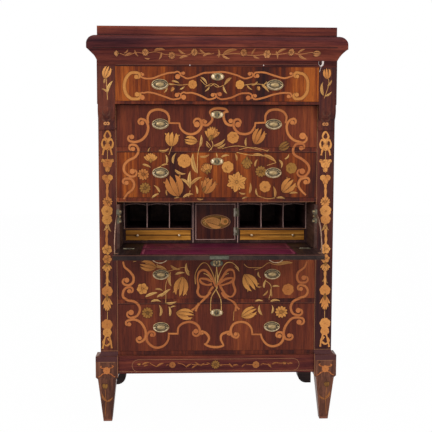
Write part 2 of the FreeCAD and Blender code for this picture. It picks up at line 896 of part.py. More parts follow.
def fall():
    """The writing flap, with the thin lip that covers the drawer's bottom edge."""
    top = bed_top + fall_reach
    board = cuboid(even(front_half), (0, fall_thickness), (bed_top, top))
    lip = cuboid(even(front_half), (0, lip_thickness), (bed_top - fall_thickness, bed_top))
    shape = board.fuse(lip).removeSplitter()
    for x_span in hinge_spans():
        shape = shape.cut(folded(leaf_room(x_span)))
    mortise = cuboid(even(keyhole_width / 2), (-overrun, (fall_thickness - lock_depth) / 2),
                     centred(top_4 - keyhole_drop, keyhole_height))
    return shape.cut([fall_leather(), fall_lock(), edge_plate(), mortise]
                     + both_sides([stay_foot()]))


def case_opening(index):
    """The left and right ends of one pigeonhole on the right, counted outwards."""
    inner = cupboard_width / 2 + cupboard_wall
    outer = secretaire_inner_half - case_wall
    clear = outer - inner - (pigeonhole_count - 1) * divider_thickness
    width = clear / pigeonhole_count
    start = inner + index * (width + divider_thickness)
    return (start, start + width)


def pigeonhole_case():
    """The boards of the interior: base, top, upright walls and the two shelves."""
    depth = (case_front, secretaire_back_front)
    inside = (case_floor, case_ceiling)
    outer = secretaire_inner_half - case_wall
    wall_x = (cupboard_width / 2, cupboard_width / 2 + cupboard_wall)
    base = cuboid(even(secretaire_inner_half), depth, (bed_top, case_floor))
    top = cuboid(even(secretaire_inner_half), depth, (case_ceiling, secretaire_top))
    walls = [cuboid((outer, secretaire_inner_half), depth, inside),
             cuboid(wall_x, depth, inside)]
    shelf = cuboid((wall_x[1], outer), depth, (shelf_underside, shelf_top))
    return [base, top] + both_sides(walls + [shelf])


def divider(index):
    """An upright between two pigeonholes, with its front edge scooped back."""
    x = case_opening(index)[1]
    low = V(x, case_front, shelf_top)
    high = V(x, case_front, case_ceiling)
    back_high = V(x, secretaire_back_front, case_ceiling)
    back_low = V(x, secretaire_back_front, shelf_top)
    edges = [bowed(low, high, V(0, divider_scoop, 0)), line(high, back_high),
             line(back_high, back_low), line(back_low, low)]
    return prism(edges, V(divider_thickness, 0, 0))


def valance(index):
    """The small arched strip at the top of a pigeonhole."""
    x_low, x_high = case_opening(index)
    y = case_front + divider_scoop / 2
    foot = case_ceiling - valance_height
    left, right = V(x_low, y, foot), V(x_high, y, foot)
    top_left, top_right = V(x_low, y, case_ceiling), V(x_high, y, case_ceiling)
    edges = [bowed(left, right, V(0, 0, valance_rise)), line(right, top_right),
             line(top_right, top_left), line(top_left, left)]
    return prism(edges, V(0, valance_thickness, 0))


def door_hinge_heights():
    low = case_floor + door_gap + door_hinge_inset
    high = case_ceiling - door_gap - door_hinge_inset - door_hinge_height
    return (low, high)


def door_knuckle(z):
    """One knuckle of a cupboard hinge, a third of its height, without its bore."""
    return rod(V(door_axis_x, door_axis_y, z),
               UP * (door_hinge_height / knuckle_count - running_gap),
               ACROSS * door_knuckle_radius, BACKWARDS * door_knuckle_radius)


def door_hinge_half(z, towards, own_parity):
    """A thin leaf on the face of the door or the wall, with its knuckles of the barrel."""
    third = door_hinge_height / knuckle_count
    near = door_axis_x + towards * (door_knuckle_radius + running_gap)
    far = near + towards * door_leaf_width
    depth = (case_front - door_leaf_thickness, case_front)
    parts = []
    for index in range(own_parity, knuckle_count, 2):
        low = z + index * third
        parts.append(door_knuckle(low))
        parts.append(cuboid(sorted([door_axis_x, near]), depth,
                            (low, low + third - running_gap)))
    leaf = cuboid(sorted([near, far]), depth, (z, z + door_hinge_height - running_gap))
    room = bore(V(door_axis_x, door_axis_y, z), UP * door_hinge_height,
                ACROSS, BACKWARDS, pin_radius)
    return leaf.fuse(parts).removeSplitter().cut(room)


def door_pin(z):
    return Part.makeCylinder(pin_radius, door_hinge_height - running_gap,
                             V(door_axis_x, door_axis_y, z), UP)


def cupboard_door():
    return cuboid((-door_edge_x, door_edge_x), (case_front, case_front + door_thickness),
                  (case_floor + door_gap, case_ceiling - door_gap))


def small_drawer():
    """The right small drawer: a front, two sides, a bottom and a back."""
    x_low = cupboard_width / 2 + cupboard_wall + small_drawer_gap
    x_high = secretaire_inner_half - case_wall - small_drawer_gap
    low = case_floor + running_gap
    high = shelf_underside - small_drawer_gap
    start = case_front + small_front_thickness
    end = secretaire_back_front - small_drawer_short
    floor_span = (low + small_wall, low + small_wall + small_bottom)
    front = cuboid((x_low, x_high), (case_front, start), (low, high))
    sides = [cuboid((x_low, x_low + small_wall), (start, end), (low, high)),
             cuboid((x_high - small_wall, x_high), (start, end), (low, high))]
    inner = (x_low + small_wall, x_high - small_wall)
    bottom = cuboid(inner, (start, end), floor_span)
    back = cuboid(inner, (end - small_wall, end), (floor_span[1], high))
    return [front] + sides + [bottom, back]


def knob(x):
    """A turned brass knob on a small drawer's front, given by its radius at each height."""
    z = (case_floor + shelf_underside) / 2
    widest = knob_length - knob_radius * knob_waist_share
    turned = [(0, knob_base_radius), (knob_base_height, knob_base_radius),
              (knob_base_height * 2, knob_neck_radius),
              (knob_length * knob_waist_share, knob_neck_radius), (widest, knob_radius),
              (knob_length, knob_radius * knob_tip_share)]
    return skin([ring(V(x, case_front - height, z), ACROSS * radius, UP * radius, knob_sides)
                 for height, radius in turned])


def knobs():
    inner = cupboard_width / 2 + cupboard_wall
    outer = secretaire_inner_half - case_wall
    middle = (inner + outer) / 2
    return [knob(middle - knob_spacing / 2), knob(middle + knob_spacing / 2)]


def make_secretaire():
    hinges = [hinge_half(x_span, 0) for x_span in hinge_spans()]
    hinges += [hinge_pin(x_span) for x_span in hinge_spans()]
    hinges += [door_hinge_half(z, 1, 0) for z in door_hinge_heights()]
    hinges += [door_pin(z) for z in door_hinge_heights()]
    door_hinges = [door_hinge_half(z, -1, 1) for z in door_hinge_heights()]
    dividers = [divider(index) for index in range(pigeonhole_count - 1)]
    valances = [valance(index) for index in range(pigeonhole_count)]
    nodes["secretaire_box"] = pulled(both_sides([secretaire_side()]) + [secretaire_back()])
    nodes["writing_bed"] = pulled([writing_bed()])
    nodes["bed_leather"] = pulled([bed_leather()])
    nodes["pigeonhole_case"] = pulled(pigeonhole_case())
    nodes["pigeonhole_dividers"] = pulled(both_sides(dividers + valances))
    nodes["secretaire_fittings"] = pulled(both_sides([slot_plate()]) + hinges)
    nodes["cupboard_door"] = pulled([cupboard_door()])
    nodes["cupboard_door_hinges"] = pulled(door_hinges)
    nodes["small_drawer_left"] = pulled([mirrored(shape) for shape in small_drawer()])
    nodes["small_drawer_right"] = pulled(small_drawer())
    nodes["small_drawer_knobs_left"] = pulled([mirrored(shape) for shape in knobs()])
    nodes["small_drawer_knobs_right"] = pulled(knobs())


def make_fall():
    handle_z = floor_4 + secretaire_height / 2 + fall_handle_lift - pivot_z
    x = handle_spacing / 2
    plates = moved_all(handle_fittings(), x, 0, handle_z)
    plates += moved_all(handle_fittings(), -x, 0, handle_z)
    plates.append(moved(escutcheon(), z=top_4 - keyhole_drop))
    leaves = [folded(hinge_half(x_span, 1)) for x_span in hinge_spans()]
    nodes["fall"] = opened([fall()])
    nodes["fall_leather"] = opened([fall_leather()])
    nodes["fall_fittings"] = opened(plates + leaves + [fall_lock(), edge_plate()])
    nodes["quadrant_stays"] = opened(both_sides([quadrant_stay()]))
    pivot = opened([Part.Vertex(V(0, -bail_pivot_height, handle_z + pivot_z))])[0].Point
    y = pivot.y + bail_pivot_height
    z = pivot.z - pivot_z
    nodes["fall_bail_left"] = [moved(bail(), -x, y, z)]
    nodes["fall_bail_right"] = [moved(bail(), x, y, z)]


make_carcass()
make_drawers()
make_secretaire()
make_fall()

os.makedirs("parts", exist_ok=True)
for node, solids in nodes.items():
    placed = moved_all(solids, y=-origin_y)
    shape = placed[0] if len(placed) == 1 else Part.makeCompound(placed)
    shape.exportStep("parts/%s.step" % node)
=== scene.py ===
import json
import math
import random

import bpy
from mathutils import Matrix, Vector
from mathutils.bvhtree import BVHTree


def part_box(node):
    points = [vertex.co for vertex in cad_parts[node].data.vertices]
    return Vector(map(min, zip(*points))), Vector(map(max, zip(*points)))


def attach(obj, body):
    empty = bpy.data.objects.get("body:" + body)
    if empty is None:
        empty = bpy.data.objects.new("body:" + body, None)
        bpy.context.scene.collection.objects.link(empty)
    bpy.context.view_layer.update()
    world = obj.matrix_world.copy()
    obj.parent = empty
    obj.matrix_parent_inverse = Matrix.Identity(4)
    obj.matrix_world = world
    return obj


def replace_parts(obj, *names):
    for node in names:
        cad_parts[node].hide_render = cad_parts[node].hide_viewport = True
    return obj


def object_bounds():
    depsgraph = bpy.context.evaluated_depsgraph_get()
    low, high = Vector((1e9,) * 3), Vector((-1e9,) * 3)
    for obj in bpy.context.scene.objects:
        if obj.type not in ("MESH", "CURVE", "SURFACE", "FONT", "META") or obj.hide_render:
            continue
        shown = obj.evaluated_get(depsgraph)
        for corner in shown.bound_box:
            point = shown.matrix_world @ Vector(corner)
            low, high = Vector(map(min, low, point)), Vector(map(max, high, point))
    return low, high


# The looks of an inlaid mahogany chiffonier desk. Lengths are metres in the part's own
# frame: +X to the right, +Y to the back, +Z up, with the floor at zero.

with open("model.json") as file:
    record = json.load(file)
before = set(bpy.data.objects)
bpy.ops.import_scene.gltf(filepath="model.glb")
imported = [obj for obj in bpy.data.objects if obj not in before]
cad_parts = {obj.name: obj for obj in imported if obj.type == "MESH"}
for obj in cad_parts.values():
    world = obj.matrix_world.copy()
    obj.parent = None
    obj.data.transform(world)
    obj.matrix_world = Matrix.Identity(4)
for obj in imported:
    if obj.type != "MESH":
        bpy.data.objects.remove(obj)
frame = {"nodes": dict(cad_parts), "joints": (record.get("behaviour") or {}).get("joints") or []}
cad_low, cad_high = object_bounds()
random.seed(7)

# Camera, as it stood for the photograph
camera_place = Vector((-0.1283, -3.2286, 1.1099))
camera_yaw = math.radians(2.327)
camera_pitch = math.radians(5.323)
camera_roll = math.radians(0.148)
camera_lens = 65.62
sensor_width = 36.0
photo_size = 432
focal_pixels = camera_lens / sensor_width * photo_size

# Enlarged parts of the photograph: left edge, top edge, enlargement
UPPER_LEFT = (95, 60, 7.586)
UPPER_RIGHT = (205, 60, 7.586)
LOWER_LEFT = (95, 245, 8.4615)
LOWER_RIGHT = (205, 245, 8.4615)
GARLAND = (90, 120, 4.583)
COVE_LEFT = (84, 25, 10.606)
COVE_RIGHT = (214, 25, 10.294)
LEG_BLOCK = (90, 345, 13.75)

# Veneer pieces lie this proud of the wood, each a little over the one before
veneer_lift = 0.00025
motif_step = 0.0000037
petal_step = 0.000023
piece_step = 4e-7
piece_turns = 40
least_area = 1e-9
strip_height = 0.0014

scroll_width = 0.0098
frieze_scroll_width = 0.0068
end_scroll_width = 0.0118
ribbon_width = 0.0085
cord_width = 0.0032
stem_width = 0.0019
string_width = 0.0012
vein_width = 0.0006
outline_width = 0.0008
petal_rim = 0.0011


def tint(red, green, blue):
    """A colour as the photograph shows it, from 0 to 255, as linear light."""
    light = []
    for value in (red, green, blue):
        share = value / 255
        light.append(share / 12.92 if share < 0.04045 else ((share + 0.055) / 1.055) ** 2.4)
    return tuple(light) + (1,)


def add_object(name, data):
    made = bpy.data.objects.new(name, data)
    bpy.context.scene.collection.objects.link(made)
    return made


# Materials

def start_material(name):
    material = bpy.data.materials.new(name)
    material.use_nodes = True
    tree = material.node_tree
    tree.nodes.clear()
    return material, tree


def node(tree, kind, inputs=(), **settings):
    made = tree.nodes.new(kind)
    for key, value in settings.items():
        setattr(made, key, value)
    for key, value in dict(inputs).items():
        if isinstance(value, bpy.types.NodeSocket):
            tree.links.new(value, made.inputs[key])
        else:
            made.inputs[key].default_value = value
    return made


def noise(tree, place, scale, detail, distortion=0.0, roughness=0.55):
    return node(tree, "ShaderNodeTexNoise",
                {"Vector": place, "Scale": scale, "Detail": detail, "Distortion": distortion,
                 "Roughness": roughness}).outputs[0]


def maths(tree, operation, first, second=0.0):
    return node(tree, "ShaderNodeMath", {0: first, 1: second}, operation=operation).outputs[0]


def weighted(tree, *pairs):
    """The sum of values, each times its share."""
    total = None
    for value, share in pairs:
        part = maths(tree, "MULTIPLY", value, share)
        total = maths(tree, "ADD", total, part) if total else part
    return total


def spread(tree, value, low, high, to_low, to_high, shape="LINEAR"):
    return node(tree, "ShaderNodeMapRange",
                {"Value": value, "From Min": low, "From Max": high, "To Min": to_low,
                 "To Max": to_high}, interpolation_type=shape).outputs[0]


def mixed(tree, factor, first, second, blend="MIX"):
    return node(tree, "ShaderNodeMix", {"Factor": factor, 6: first, 7: second},
                data_type="RGBA", blend_type=blend).outputs[2]


def ramp(tree, factor, tones):
    """Colours along a value. Each tone is its place from 0 to 1, and its tint."""
    made = node(tree, "ShaderNodeValToRGB", {"Fac": factor})
    elements = made.color_ramp.elements
    stops = [(tone[0], tint(*tone[1:])) for tone in tones]
    elements[0].position, elements[0].color = stops[0]
    elements[1].position, elements[1].color = stops[-1]
    for position, colour in stops[1:-1]:
        elements.new(position).color = colour
    return made.outputs["Color"]


def coordinates(tree, kind="Object"):
    return node(tree, "ShaderNodeTexCoord").outputs[kind]


def parted(tree, vector):
    return node(tree, "ShaderNodeSeparateXYZ", {0: vector}).outputs


def close_material(tree, colour, roughness, height, bump, depth, **shader):
    normal = node(tree, "ShaderNodeBump", {"Strength": bump, "Distance": depth, "Height": height})
    inputs = {key.replace("_", " "): value for key, value in shader.items()}
    inputs.update({"Base Color": colour, "Roughness": roughness, "Normal": normal.outputs[0]})
    surface = node(tree, "ShaderNodeBsdfPrincipled", inputs)
    node(tree, "ShaderNodeOutputMaterial", {"Surface": surface.outputs[0]})


# The materials mix noises of these scales, and press them into reliefs of these depths. Bare
# numbers in them are shares: the stretch of a noise that counts, and what it turns into.
grain_stretch = {"X": (0.05, 1, 1), "Y": (1, 0.05, 1), "Z": (1, 1, 0.05)}
cloud_scale = 3.2
streak_scale = 85.0
pore_scale = 510.0
fibre_scale = 260.0
patch_scale = 28.0
patina_scale = 240.0
tarnish_scale = 60.0
pebble_scale = 700.0
rubbed_scale = 9.0
scuff_scale = 140.0
mottle_scale = 5.0
grain_depth = 0.0006
fibre_depth = 0.0004
pebble_depth = 0.0005
coat_roughness = 0.22


def wood(name, tones, grain, seed, figure=11.0, gloss=0.36, glows=(), coat=0.02, top=None,
         edge=None, shine=0.1, contrast=1.0, returns=False):
    """Veneer or boards: broad figure, fine streaks and pores, all drawn out along the grain.
    glows are paler stretches, each the middle and half width along X and a strength.
    top and edge are the tones of the faces that look up and to the front at rest.
    returns turns the grain along Y on the faces that look to the sides."""
    material, tree = start_material(name)
    place = coordinates(tree)

    def drawn_out(axis):
        shift = (seed * 1.37, seed * 2.11, seed * 0.73)
        return node(tree, "ShaderNodeMapping", {"Vector": place, "Location": shift,
                                                "Scale": grain_stretch[axis]}).outputs[0]

    def facing(axis):
        return parted(tree, coordinates(tree, "Normal"))[axis]

    along = drawn_out(grain)
    if returns:
        sideways = maths(tree, "GREATER_THAN", maths(tree, "ABSOLUTE", facing("X")), 0.6)
        along = mixed(tree, sideways, along, drawn_out("Y"))
    broad = noise(tree, along, figure, 3.0, 0.8)
    streaks = noise(tree, along, streak_scale, 6.0, 0.3, 0.65)
    pores = noise(tree, along, pore_scale, 3.0)
    clouds = noise(tree, place, cloud_scale, 2.0)
    blend = weighted(tree, (broad, 0.45), (streaks, 0.35), (clouds, 0.2))
    blend = spread(tree, blend, 0.37, 0.64, 0.5 - contrast / 2, 0.5 + contrast / 2)
    for middle, half, strength in glows:
        away = maths(tree, "SUBTRACT", parted(tree, place)["X"], middle)
        glow = spread(tree, maths(tree, "ABSOLUTE", away), 0.0, half * 1.4, strength, 0.0,
                      "SMOOTHSTEP")
        blend = maths(tree, "ADD", blend, glow)
    colour = ramp(tree, blend, wood_tones[tones])
    if top:
        upwards = maths(tree, "GREATER_THAN", facing("Z"), 0.5)
        frontwards = maths(tree, "LESS_THAN", facing("Y"), -0.5)
        colour = mixed(tree, upwards, colour, ramp(tree, blend, wood_tones[top]))
        colour = mixed(tree, frontwards, colour, ramp(tree, blend, wood_tones[edge]))
    dark = spread(tree, pores, 0.3, 0.5, 0.55, 1.0)
    shade = node(tree, "ShaderNodeCombineColor", {0: dark, 1: dark, 2: dark}).outputs[0]
    colour = mixed(tree, 1.0, colour, shade, "MULTIPLY")
    roughness = spread(tree, streaks, 0.3, 0.7, gloss + 0.08, gloss - 0.06)
    close_material(tree, colour, roughness, maths(tree, "ADD", streaks, pores), 0.12, grain_depth,
                   Specular_IOR_Level=shine, Coat_Weight=coat, Coat_Roughness=coat_roughness)
    return material


def inlay_wood(name, pale, deep, burnt):
    """Cut veneer. Each piece has its own tone, and its burn attribute scorches it."""
    material, tree = start_material(name)
    place = coordinates(tree)
    tone = node(tree, "ShaderNodeAttribute", attribute_name="tone").outputs["Fac"]
    burn = node(tree, "ShaderNodeAttribute", attribute_name="burn").outputs["Fac"]
    fibres = noise(tree, place, fibre_scale, 5.0, 1.2)
    patch = noise(tree, place, patch_scale, 2.0)
    blend = weighted(tree, (tone, 0.6), (patch, 0.5))
    colour = mixed(tree, spread(tree, blend, 0.2, 0.9, 0.0, 1.0), pale, deep)
    scorch = maths(tree, "MULTIPLY", burn, spread(tree, patch, 0.3, 0.7, 0.7, 1.1))
    colour = mixed(tree, scorch, colour, burnt)
    colour = mixed(tree, spread(tree, fibres, 0.35, 0.65, 0.3, 0.0), colour, burnt)
    close_material(tree, colour, spread(tree, fibres, 0.3, 0.7, 0.42, 0.32), fibres, 0.1,
                   fibre_depth, Specular_IOR_Level=0.1, Coat_Weight=0.02, Coat_Roughness=coat_roughness)
    return material


def brass(name, bright, dull, grime, wear=0.5, metal=0.85):
    material, tree = start_material(name)
    place = coordinates(tree)
    patina = noise(tree, place, patina_scale, 5.0, 0.6)
    tarnish = noise(tree, place, tarnish_scale, 3.0)
    colour = mixed(tree, spread(tree, tarnish, 0.35, 0.65, 0.0, 1.0), bright, dull)
    colour = mixed(tree, spread(tree, patina, 0.5, 0.72, 0.0, wear), colour, grime)
    close_material(tree, colour, spread(tree, patina, 0.3, 0.7, 0.3, 0.52), patina, 0.25,
                   fibre_depth, Metallic=metal)
    return material


def leather(name, deep, worn):
    material, tree = start_material(name)
    place = coordinates(tree)
    pebbles = node(tree, "ShaderNodeTexVoronoi", {"Vector": place, "Scale": pebble_scale}).outputs[0]
    rubbed = noise(tree, place, rubbed_scale, 5.0, 0.5)
    scuffs = noise(tree, place, scuff_scale, 4.0)
    colour = mixed(tree, spread(tree, rubbed, 0.4, 0.68, 0.0, 1.0), deep, worn)
    colour = mixed(tree, spread(tree, scuffs, 0.6, 0.75, 0.0, 0.35), colour, worn)
    close_material(tree, colour, spread(tree, rubbed, 0.3, 0.7, 0.5, 0.38), pebbles, 0.3,
                   pebble_depth, Specular_IOR_Level=0.22)
    return material


# Each wood's colours from its darkest streak to its palest: place on the ramp, and tint
wood_tones = {
    "mahogany": ((0.0, 34, 14, 15), (0.3, 60, 25, 19), (0.55, 88, 36, 18), (0.8, 118, 53, 20),
                 (1.0, 150, 77, 28)),
    "leg": ((0.0, 42, 23, 20), (0.3, 74, 43, 34), (0.55, 102, 62, 46), (0.8, 128, 82, 62),
            (1.0, 154, 106, 84)),
    "case": ((0.0, 34, 16, 20), (0.35, 58, 27, 27), (0.6, 80, 38, 29), (0.85, 102, 50, 35),
             (1.0, 122, 64, 42)),
    "moulding": ((0.0, 44, 20, 25), (0.35, 77, 35, 34), (0.6, 100, 48, 39),
                 (0.85, 124, 62, 45), (1.0, 144, 78, 54)),
    "frieze": ((0.0, 36, 17, 21), (0.35, 62, 29, 28), (0.6, 82, 39, 32), (0.85, 102, 51, 37),
               (1.0, 120, 66, 46)),
    "calm": ((0.0, 42, 19, 20), (0.3, 63, 27, 22), (0.55, 86, 36, 24), (0.8, 111, 51, 29),
             (1.0, 138, 70, 36)),
    "hollow": ((0.0, 30, 20, 23), (0.5, 62, 41, 41), (1.0, 94, 66, 60)),
    "dark": ((0.0, 20, 13, 13), (0.5, 40, 27, 26), (1.0, 62, 43, 38)),
    "lining": ((0.0, 92, 58, 34), (0.5, 134, 92, 56), (1.0, 160, 118, 76)),
    "side": ((0.0, 42, 28, 26), (0.5, 76, 52, 45), (1.0, 102, 74, 62)),
    "amber": ((0.0, 135, 81, 28), (0.5, 193, 128, 49), (1.0, 234, 169, 77)),
    "edge": ((0.0, 26, 18, 20), (0.5, 43, 32, 30), (1.0, 65, 49, 43)),
}

# Each wooden finish: the material's name, its tones, its grain, its seed, and what it alone has
wood_finishes = {
    "lining": ("lining_boards", "lining", "Y", 3, dict(gloss=0.6, coat=0.0)),
    "lining_upright": ("back_boards", "lining", "Z", 4, dict(gloss=0.6, coat=0.0)),
    "case": ("case_veneer", "case", "Z", 1, {}),
    "case_across": ("case_mouldings", "moulding", "X", 2,
                    dict(gloss=0.42, coat=0.0, shine=0.04, returns=True)),
    "frieze": ("frieze_veneer", "frieze", "X", 17, dict(gloss=0.42, coat=0.0, shine=0.04)),
    "rails": ("rail_veneer", "calm", "Z", 16, {}),
    "legs": ("leg_veneer", "leg", "Z", 5, {}),
    "interior": ("interior_wood", "hollow", "Y", 6, dict(gloss=0.5, coat=0.0)),
    "bed": ("bed_wood", "dark", "X", 7, dict(gloss=0.45)),
    "drawer_side": ("writing_drawer_wood", "side", "Y", 18, dict(gloss=0.5)),
    "door": ("door_veneer", "case", "Z", 8, {}),
    "amber": ("small_drawer_wood", "amber", "X", 9, dict(figure=26.0)),
    "fall": ("fall_veneer", "mahogany", "Y", 10,
             dict(glows=[(0.0, 0.15, 0.3)], top="dark", edge="edge")),
    "drawer_1": ("drawer_1_veneer", "mahogany", "Z", 11,
                 dict(glows=[(-0.34, 0.12, 0.3), (0.34, 0.13, 0.4)])),
    "drawer_2": ("drawer_2_veneer", "calm", "Z", 12,
                 dict(contrast=0.66, glows=[(-0.32, 0.08, 0.05), (0.33, 0.12, 0.35)])),
    "drawer_3": ("drawer_3_veneer", "mahogany", "Z", 13,
                 dict(glows=[(0.0, 0.13, 0.28), (-0.35, 0.1, 0.15), (0.3, 0.12, 0.12)])),
    "drawer_5": ("drawer_5_veneer", "calm", "Z", 14,
                 dict(contrast=0.66, glows=[(-0.2, 0.2, 0.1), (0.3, 0.16, 0.4)])),
    "drawer_6": ("drawer_6_veneer", "calm", "Z", 15,
                 dict(contrast=0.66,
                      glows=[(0.05, 0.2, 0.15), (-0.3, 0.12, 0.15), (0.35, 0.1, 0.15)])),
}

# The other finishes: the kind and the name of the material, then its tints and shares. A cut
# veneer has a pale, a deep and a scorched tint. Brass has a bright tint, a dull one and its
# grime, then how worn it is and how metallic. Leather has a deep and a worn tint.
other_finishes = {
    "scroll": (inlay_wood, "scroll_veneer", (193, 120, 66), (168, 96, 54), (104, 54, 28)),
    "flower": (inlay_wood, "flower_veneer", (203, 141, 72), (174, 106, 54), (98, 54, 24)),
    "leaf": (inlay_wood, "leaf_veneer", (222, 174, 104), (184, 128, 68), (86, 52, 28)),
    "soft": (inlay_wood, "soft_veneer", (205, 142, 88), (175, 113, 68), (96, 56, 34)),
    "faint": (inlay_wood, "faint_veneer", (112, 72, 56), (92, 54, 42), (60, 32, 28)),
    "bright": (inlay_wood, "bright_veneer", (218, 152, 84), (199, 129, 68), (120, 68, 34)),
    "dim": (inlay_wood, "dim_veneer", (182, 116, 60), (152, 92, 48), (84, 46, 28)),
    "dull": (inlay_wood, "dull_veneer", (160, 112, 50), (128, 86, 42), (68, 44, 26)),
    # The next finish is partly the leg block's own dark purple, partly painted shade over its top and
    # chamfer.
    "plinth": (inlay_wood, "plinth_veneer", (84, 48, 46), (66, 36, 38), (40, 22, 24)),
    # The next finish is for dark inlay lines, and also for painted shadow lines along gaps and under
    # mouldings.
    "line": (inlay_wood, "dark_lines", (52, 24, 20), (40, 18, 18), (22, 10, 12)),
    "string": (inlay_wood, "stringing", (176, 124, 84), (148, 100, 68), (90, 58, 44)),
    # The next finish is for pale lines along edges: wear, and painted highlights on the edges.
    "worn": (inlay_wood, "worn_edges", (136, 86, 66), (112, 66, 52), (78, 44, 38)),
    "pale_edge": (inlay_wood, "divider_edges", (222, 184, 172), (190, 150, 140), (110, 80, 76)),
    "chip": (inlay_wood, "bare_chip", (226, 216, 210), (176, 160, 154), (116, 96, 92)),
    "brass": (brass, "aged_brass", (200, 172, 126), (150, 124, 84), (74, 60, 40)),
    "pale_brass": (brass, "handled_brass", (232, 212, 180), (196, 168, 130), (110, 84, 62), 0.3),
    "stay": (brass, "stay_brass", (170, 132, 108), (128, 96, 78), (66, 46, 38), 0.5, 0.5),
    "steel": (brass, "grey_brass", (112, 104, 86), (78, 70, 56), (40, 34, 28)),
    "hinge": (brass, "hinge_brass", (186, 176, 158), (128, 118, 102), (50, 44, 38), 0.6, 0.4),
    "dim_brass": (brass, "dim_brass", (92, 94, 78), (70, 70, 58), (44, 42, 34), 0.5, 0.4),
    "grime": (brass, "darkened_brass", (70, 58, 38), (48, 40, 28), (24, 20, 16), 0.5, 0.3),
    "leather": (leather, "writing_leather", (72, 8, 38), (106, 16, 58)),
    "tooling": (leather, "leather_tooling", (170, 92, 104), (140, 70, 84)),
}

materials = {}
for finish, (name, tones, grain, seed, more) in wood_finishes.items():
    materials[finish] = wood(name, tones, grain, seed, **more)
for finish, (make, name, *rest) in other_finishes.items():
    materials[finish] = make(name, *[tint(*x) if isinstance(x, tuple) else x for x in rest])

node_finishes = {
    "case": "side_panel_left side_panel_right pilaster_left pilaster_right frieze_corners consoles",
    "case_across": "cornice crown base_rail",
    "frieze": "frieze_board",
    "rails": "dividing_rails bottom_board",
    "legs": "front_leg_left front_leg_right",
    "lining_upright": "back_panel",
    "lining": "drawer_runners",
    "bed": "rear_feet writing_bed",
    "fall": "fall",
    "interior": "pigeonhole_case pigeonhole_dividers",
    "drawer_side": "secretaire_box",
    "door": "cupboard_door",
    "amber": "small_drawer_left small_drawer_right",
    "leather": "bed_leather fall_leather",
    "brass": "small_drawer_knobs_left small_drawer_knobs_right",
    "steel": "secretaire_fittings",
    "hinge": "cupboard_door_hinges",
    "stay": "quadrant_stays",
    "grime": "fall_fittings",
    "pale_brass": "fall_bail_left fall_bail_right",
}
ordinary_drawers = (1, 2, 3, 5, 6)


def finish_nodes(finish, names):
    for name in names.split():
        target = frame["nodes"][name]
        if not target.material_slots:
            target.data.materials.append(None)
        for place in target.material_slots:
            place.link = "OBJECT"
            place.material = materials[finish]


for finish, names in node_finishes.items():
    finish_nodes(finish, names)
for number in ordinary_drawers:
    drawer = "drawer_%d" % number
    for finish, ends in ((drawer, "_front"), ("lining", "_box"), ("brass", "_fittings"),
                         ("pale_brass", "_bail_left"), ("pale_brass", "_bail_right")):
        finish_nodes(finish, drawer + ends)


# Seeing a place of the photograph on the desk

def camera_axes():
    forwards = Vector((math.sin(camera_yaw) * math.cos(camera_pitch),
                       math.cos(camera_yaw) * math.cos(camera_pitch), -math.sin(camera_pitch)))
    level = Vector((math.cos(camera_yaw), -math.sin(camera_yaw), 0))
    above = level.cross(forwards)
    right = level * math.cos(camera_roll) + above * math.sin(camera_roll)
    up = above * math.cos(camera_roll) - level * math.sin(camera_roll)
    return right, up, forwards


camera_right, camera_up, camera_forwards = camera_axes()


def seen(pixel, y):
    """Where the photograph's pixel meets the upright plane at y, as x and z."""
    half = photo_size / 2
    ray = (camera_forwards + camera_right * ((pixel[0] - half) / focal_pixels)
           + camera_up * ((half - pixel[1]) / focal_pixels))
    hit = camera_place + ray * ((y - camera_place.y) / ray.y)
    return (hit.x, hit.z)


def on_sheet(sheet, point, y):
    left, top, enlargement = sheet
    return seen((left + point[0] / enlargement, top + point[1] / enlargement), y)


def on_sheets(sheet, points, y):
    return [on_sheet(sheet, point, y) for point in points]


# Faces that carry inlay

all_walls = []
front_gap = 0.001


def coloured_mesh(name, corners, faces, kinds):
    mesh = bpy.data.meshes.new(name)
    mesh.from_pydata(corners, [], faces)
    used = sorted(set(kinds))
    for kind in used:
        mesh.materials.append(materials[kind])
    mesh.polygons.foreach_set("material_index", [used.index(kind) for kind in kinds])
    return mesh


class Wall:
    """A face and the inlay on it. place turns x, z and a lift into a point of the desk."""

    def __init__(self, name, body, x_span, z_span, place, strip=None):
        self.name, self.body, self.x, self.z = name, body, x_span, z_span
        self.place, self.strip = place, strip
        self.corners, self.faces, self.kinds, self.burns, self.tones = [], [], [], [], []
        all_walls.append(self)

    def make_mesh(self):
        if self.faces:
            mesh = coloured_mesh("inlay_" + self.name, self.corners, self.faces, self.kinds)
            for name, values in (("burn", self.burns), ("tone", self.tones)):
                mesh.attributes.new(name, "FLOAT", "POINT").data.foreach_set("value", values)
            made = add_object("inlay_" + self.name, mesh)
            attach(made, self.body)


def flat_wall(name, body, y, x_span, z_span):
    return Wall(name, body, x_span, z_span, lambda x, z, lift: (x, y - lift, z))


def node_wall(name, body, node_name=None, x_span=None):
    """The front of a node, or of part of its width."""
    low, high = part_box(node_name or name)
    return flat_wall(name, body, low.y, x_span or (low.x, high.x), (low.z, high.z))


def traced_wall(name, body, node_name, x_span=None, strict=False):
    """A face that isn't flat: each corner is set down on the node's own front, and pieces
    are cut into strips, so that none bridges a hollow. strict leaves out what misses it."""
    mesh = frame["nodes"][node_name].data
    tree = BVHTree.FromPolygons([corner.co for corner in mesh.vertices],
                                [face.vertices for face in mesh.polygons])
    low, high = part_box(node_name)

    def place(x, z, lift):
        hit = tree.ray_cast(Vector((x, cad_low.y - 1, z)), Vector((0, 1, 0)))[0]
        if hit is None and strict:
            return None
        return (x, (low if hit is None else hit).y - lift, z)

    return Wall(name, body, x_span or (low.x, high.x), (low.z, high.z), place, strip_height)


def fall_wall():
    """The fall's show side. It is drawn as if closed, and laid on the open fall."""
    low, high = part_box("fall")
    hinge_y, hinge_z = [j["pos_m"] for j in frame["joints"] if j["name"] == "fall_hinge"][0][1:]
    return Wall("fall", "fall", (low.x, high.x), (low.z, hinge_z + hinge_y - low.y),
                lambda x, z, lift: (x, hinge_y - (z - hinge_z), low.z - lift))


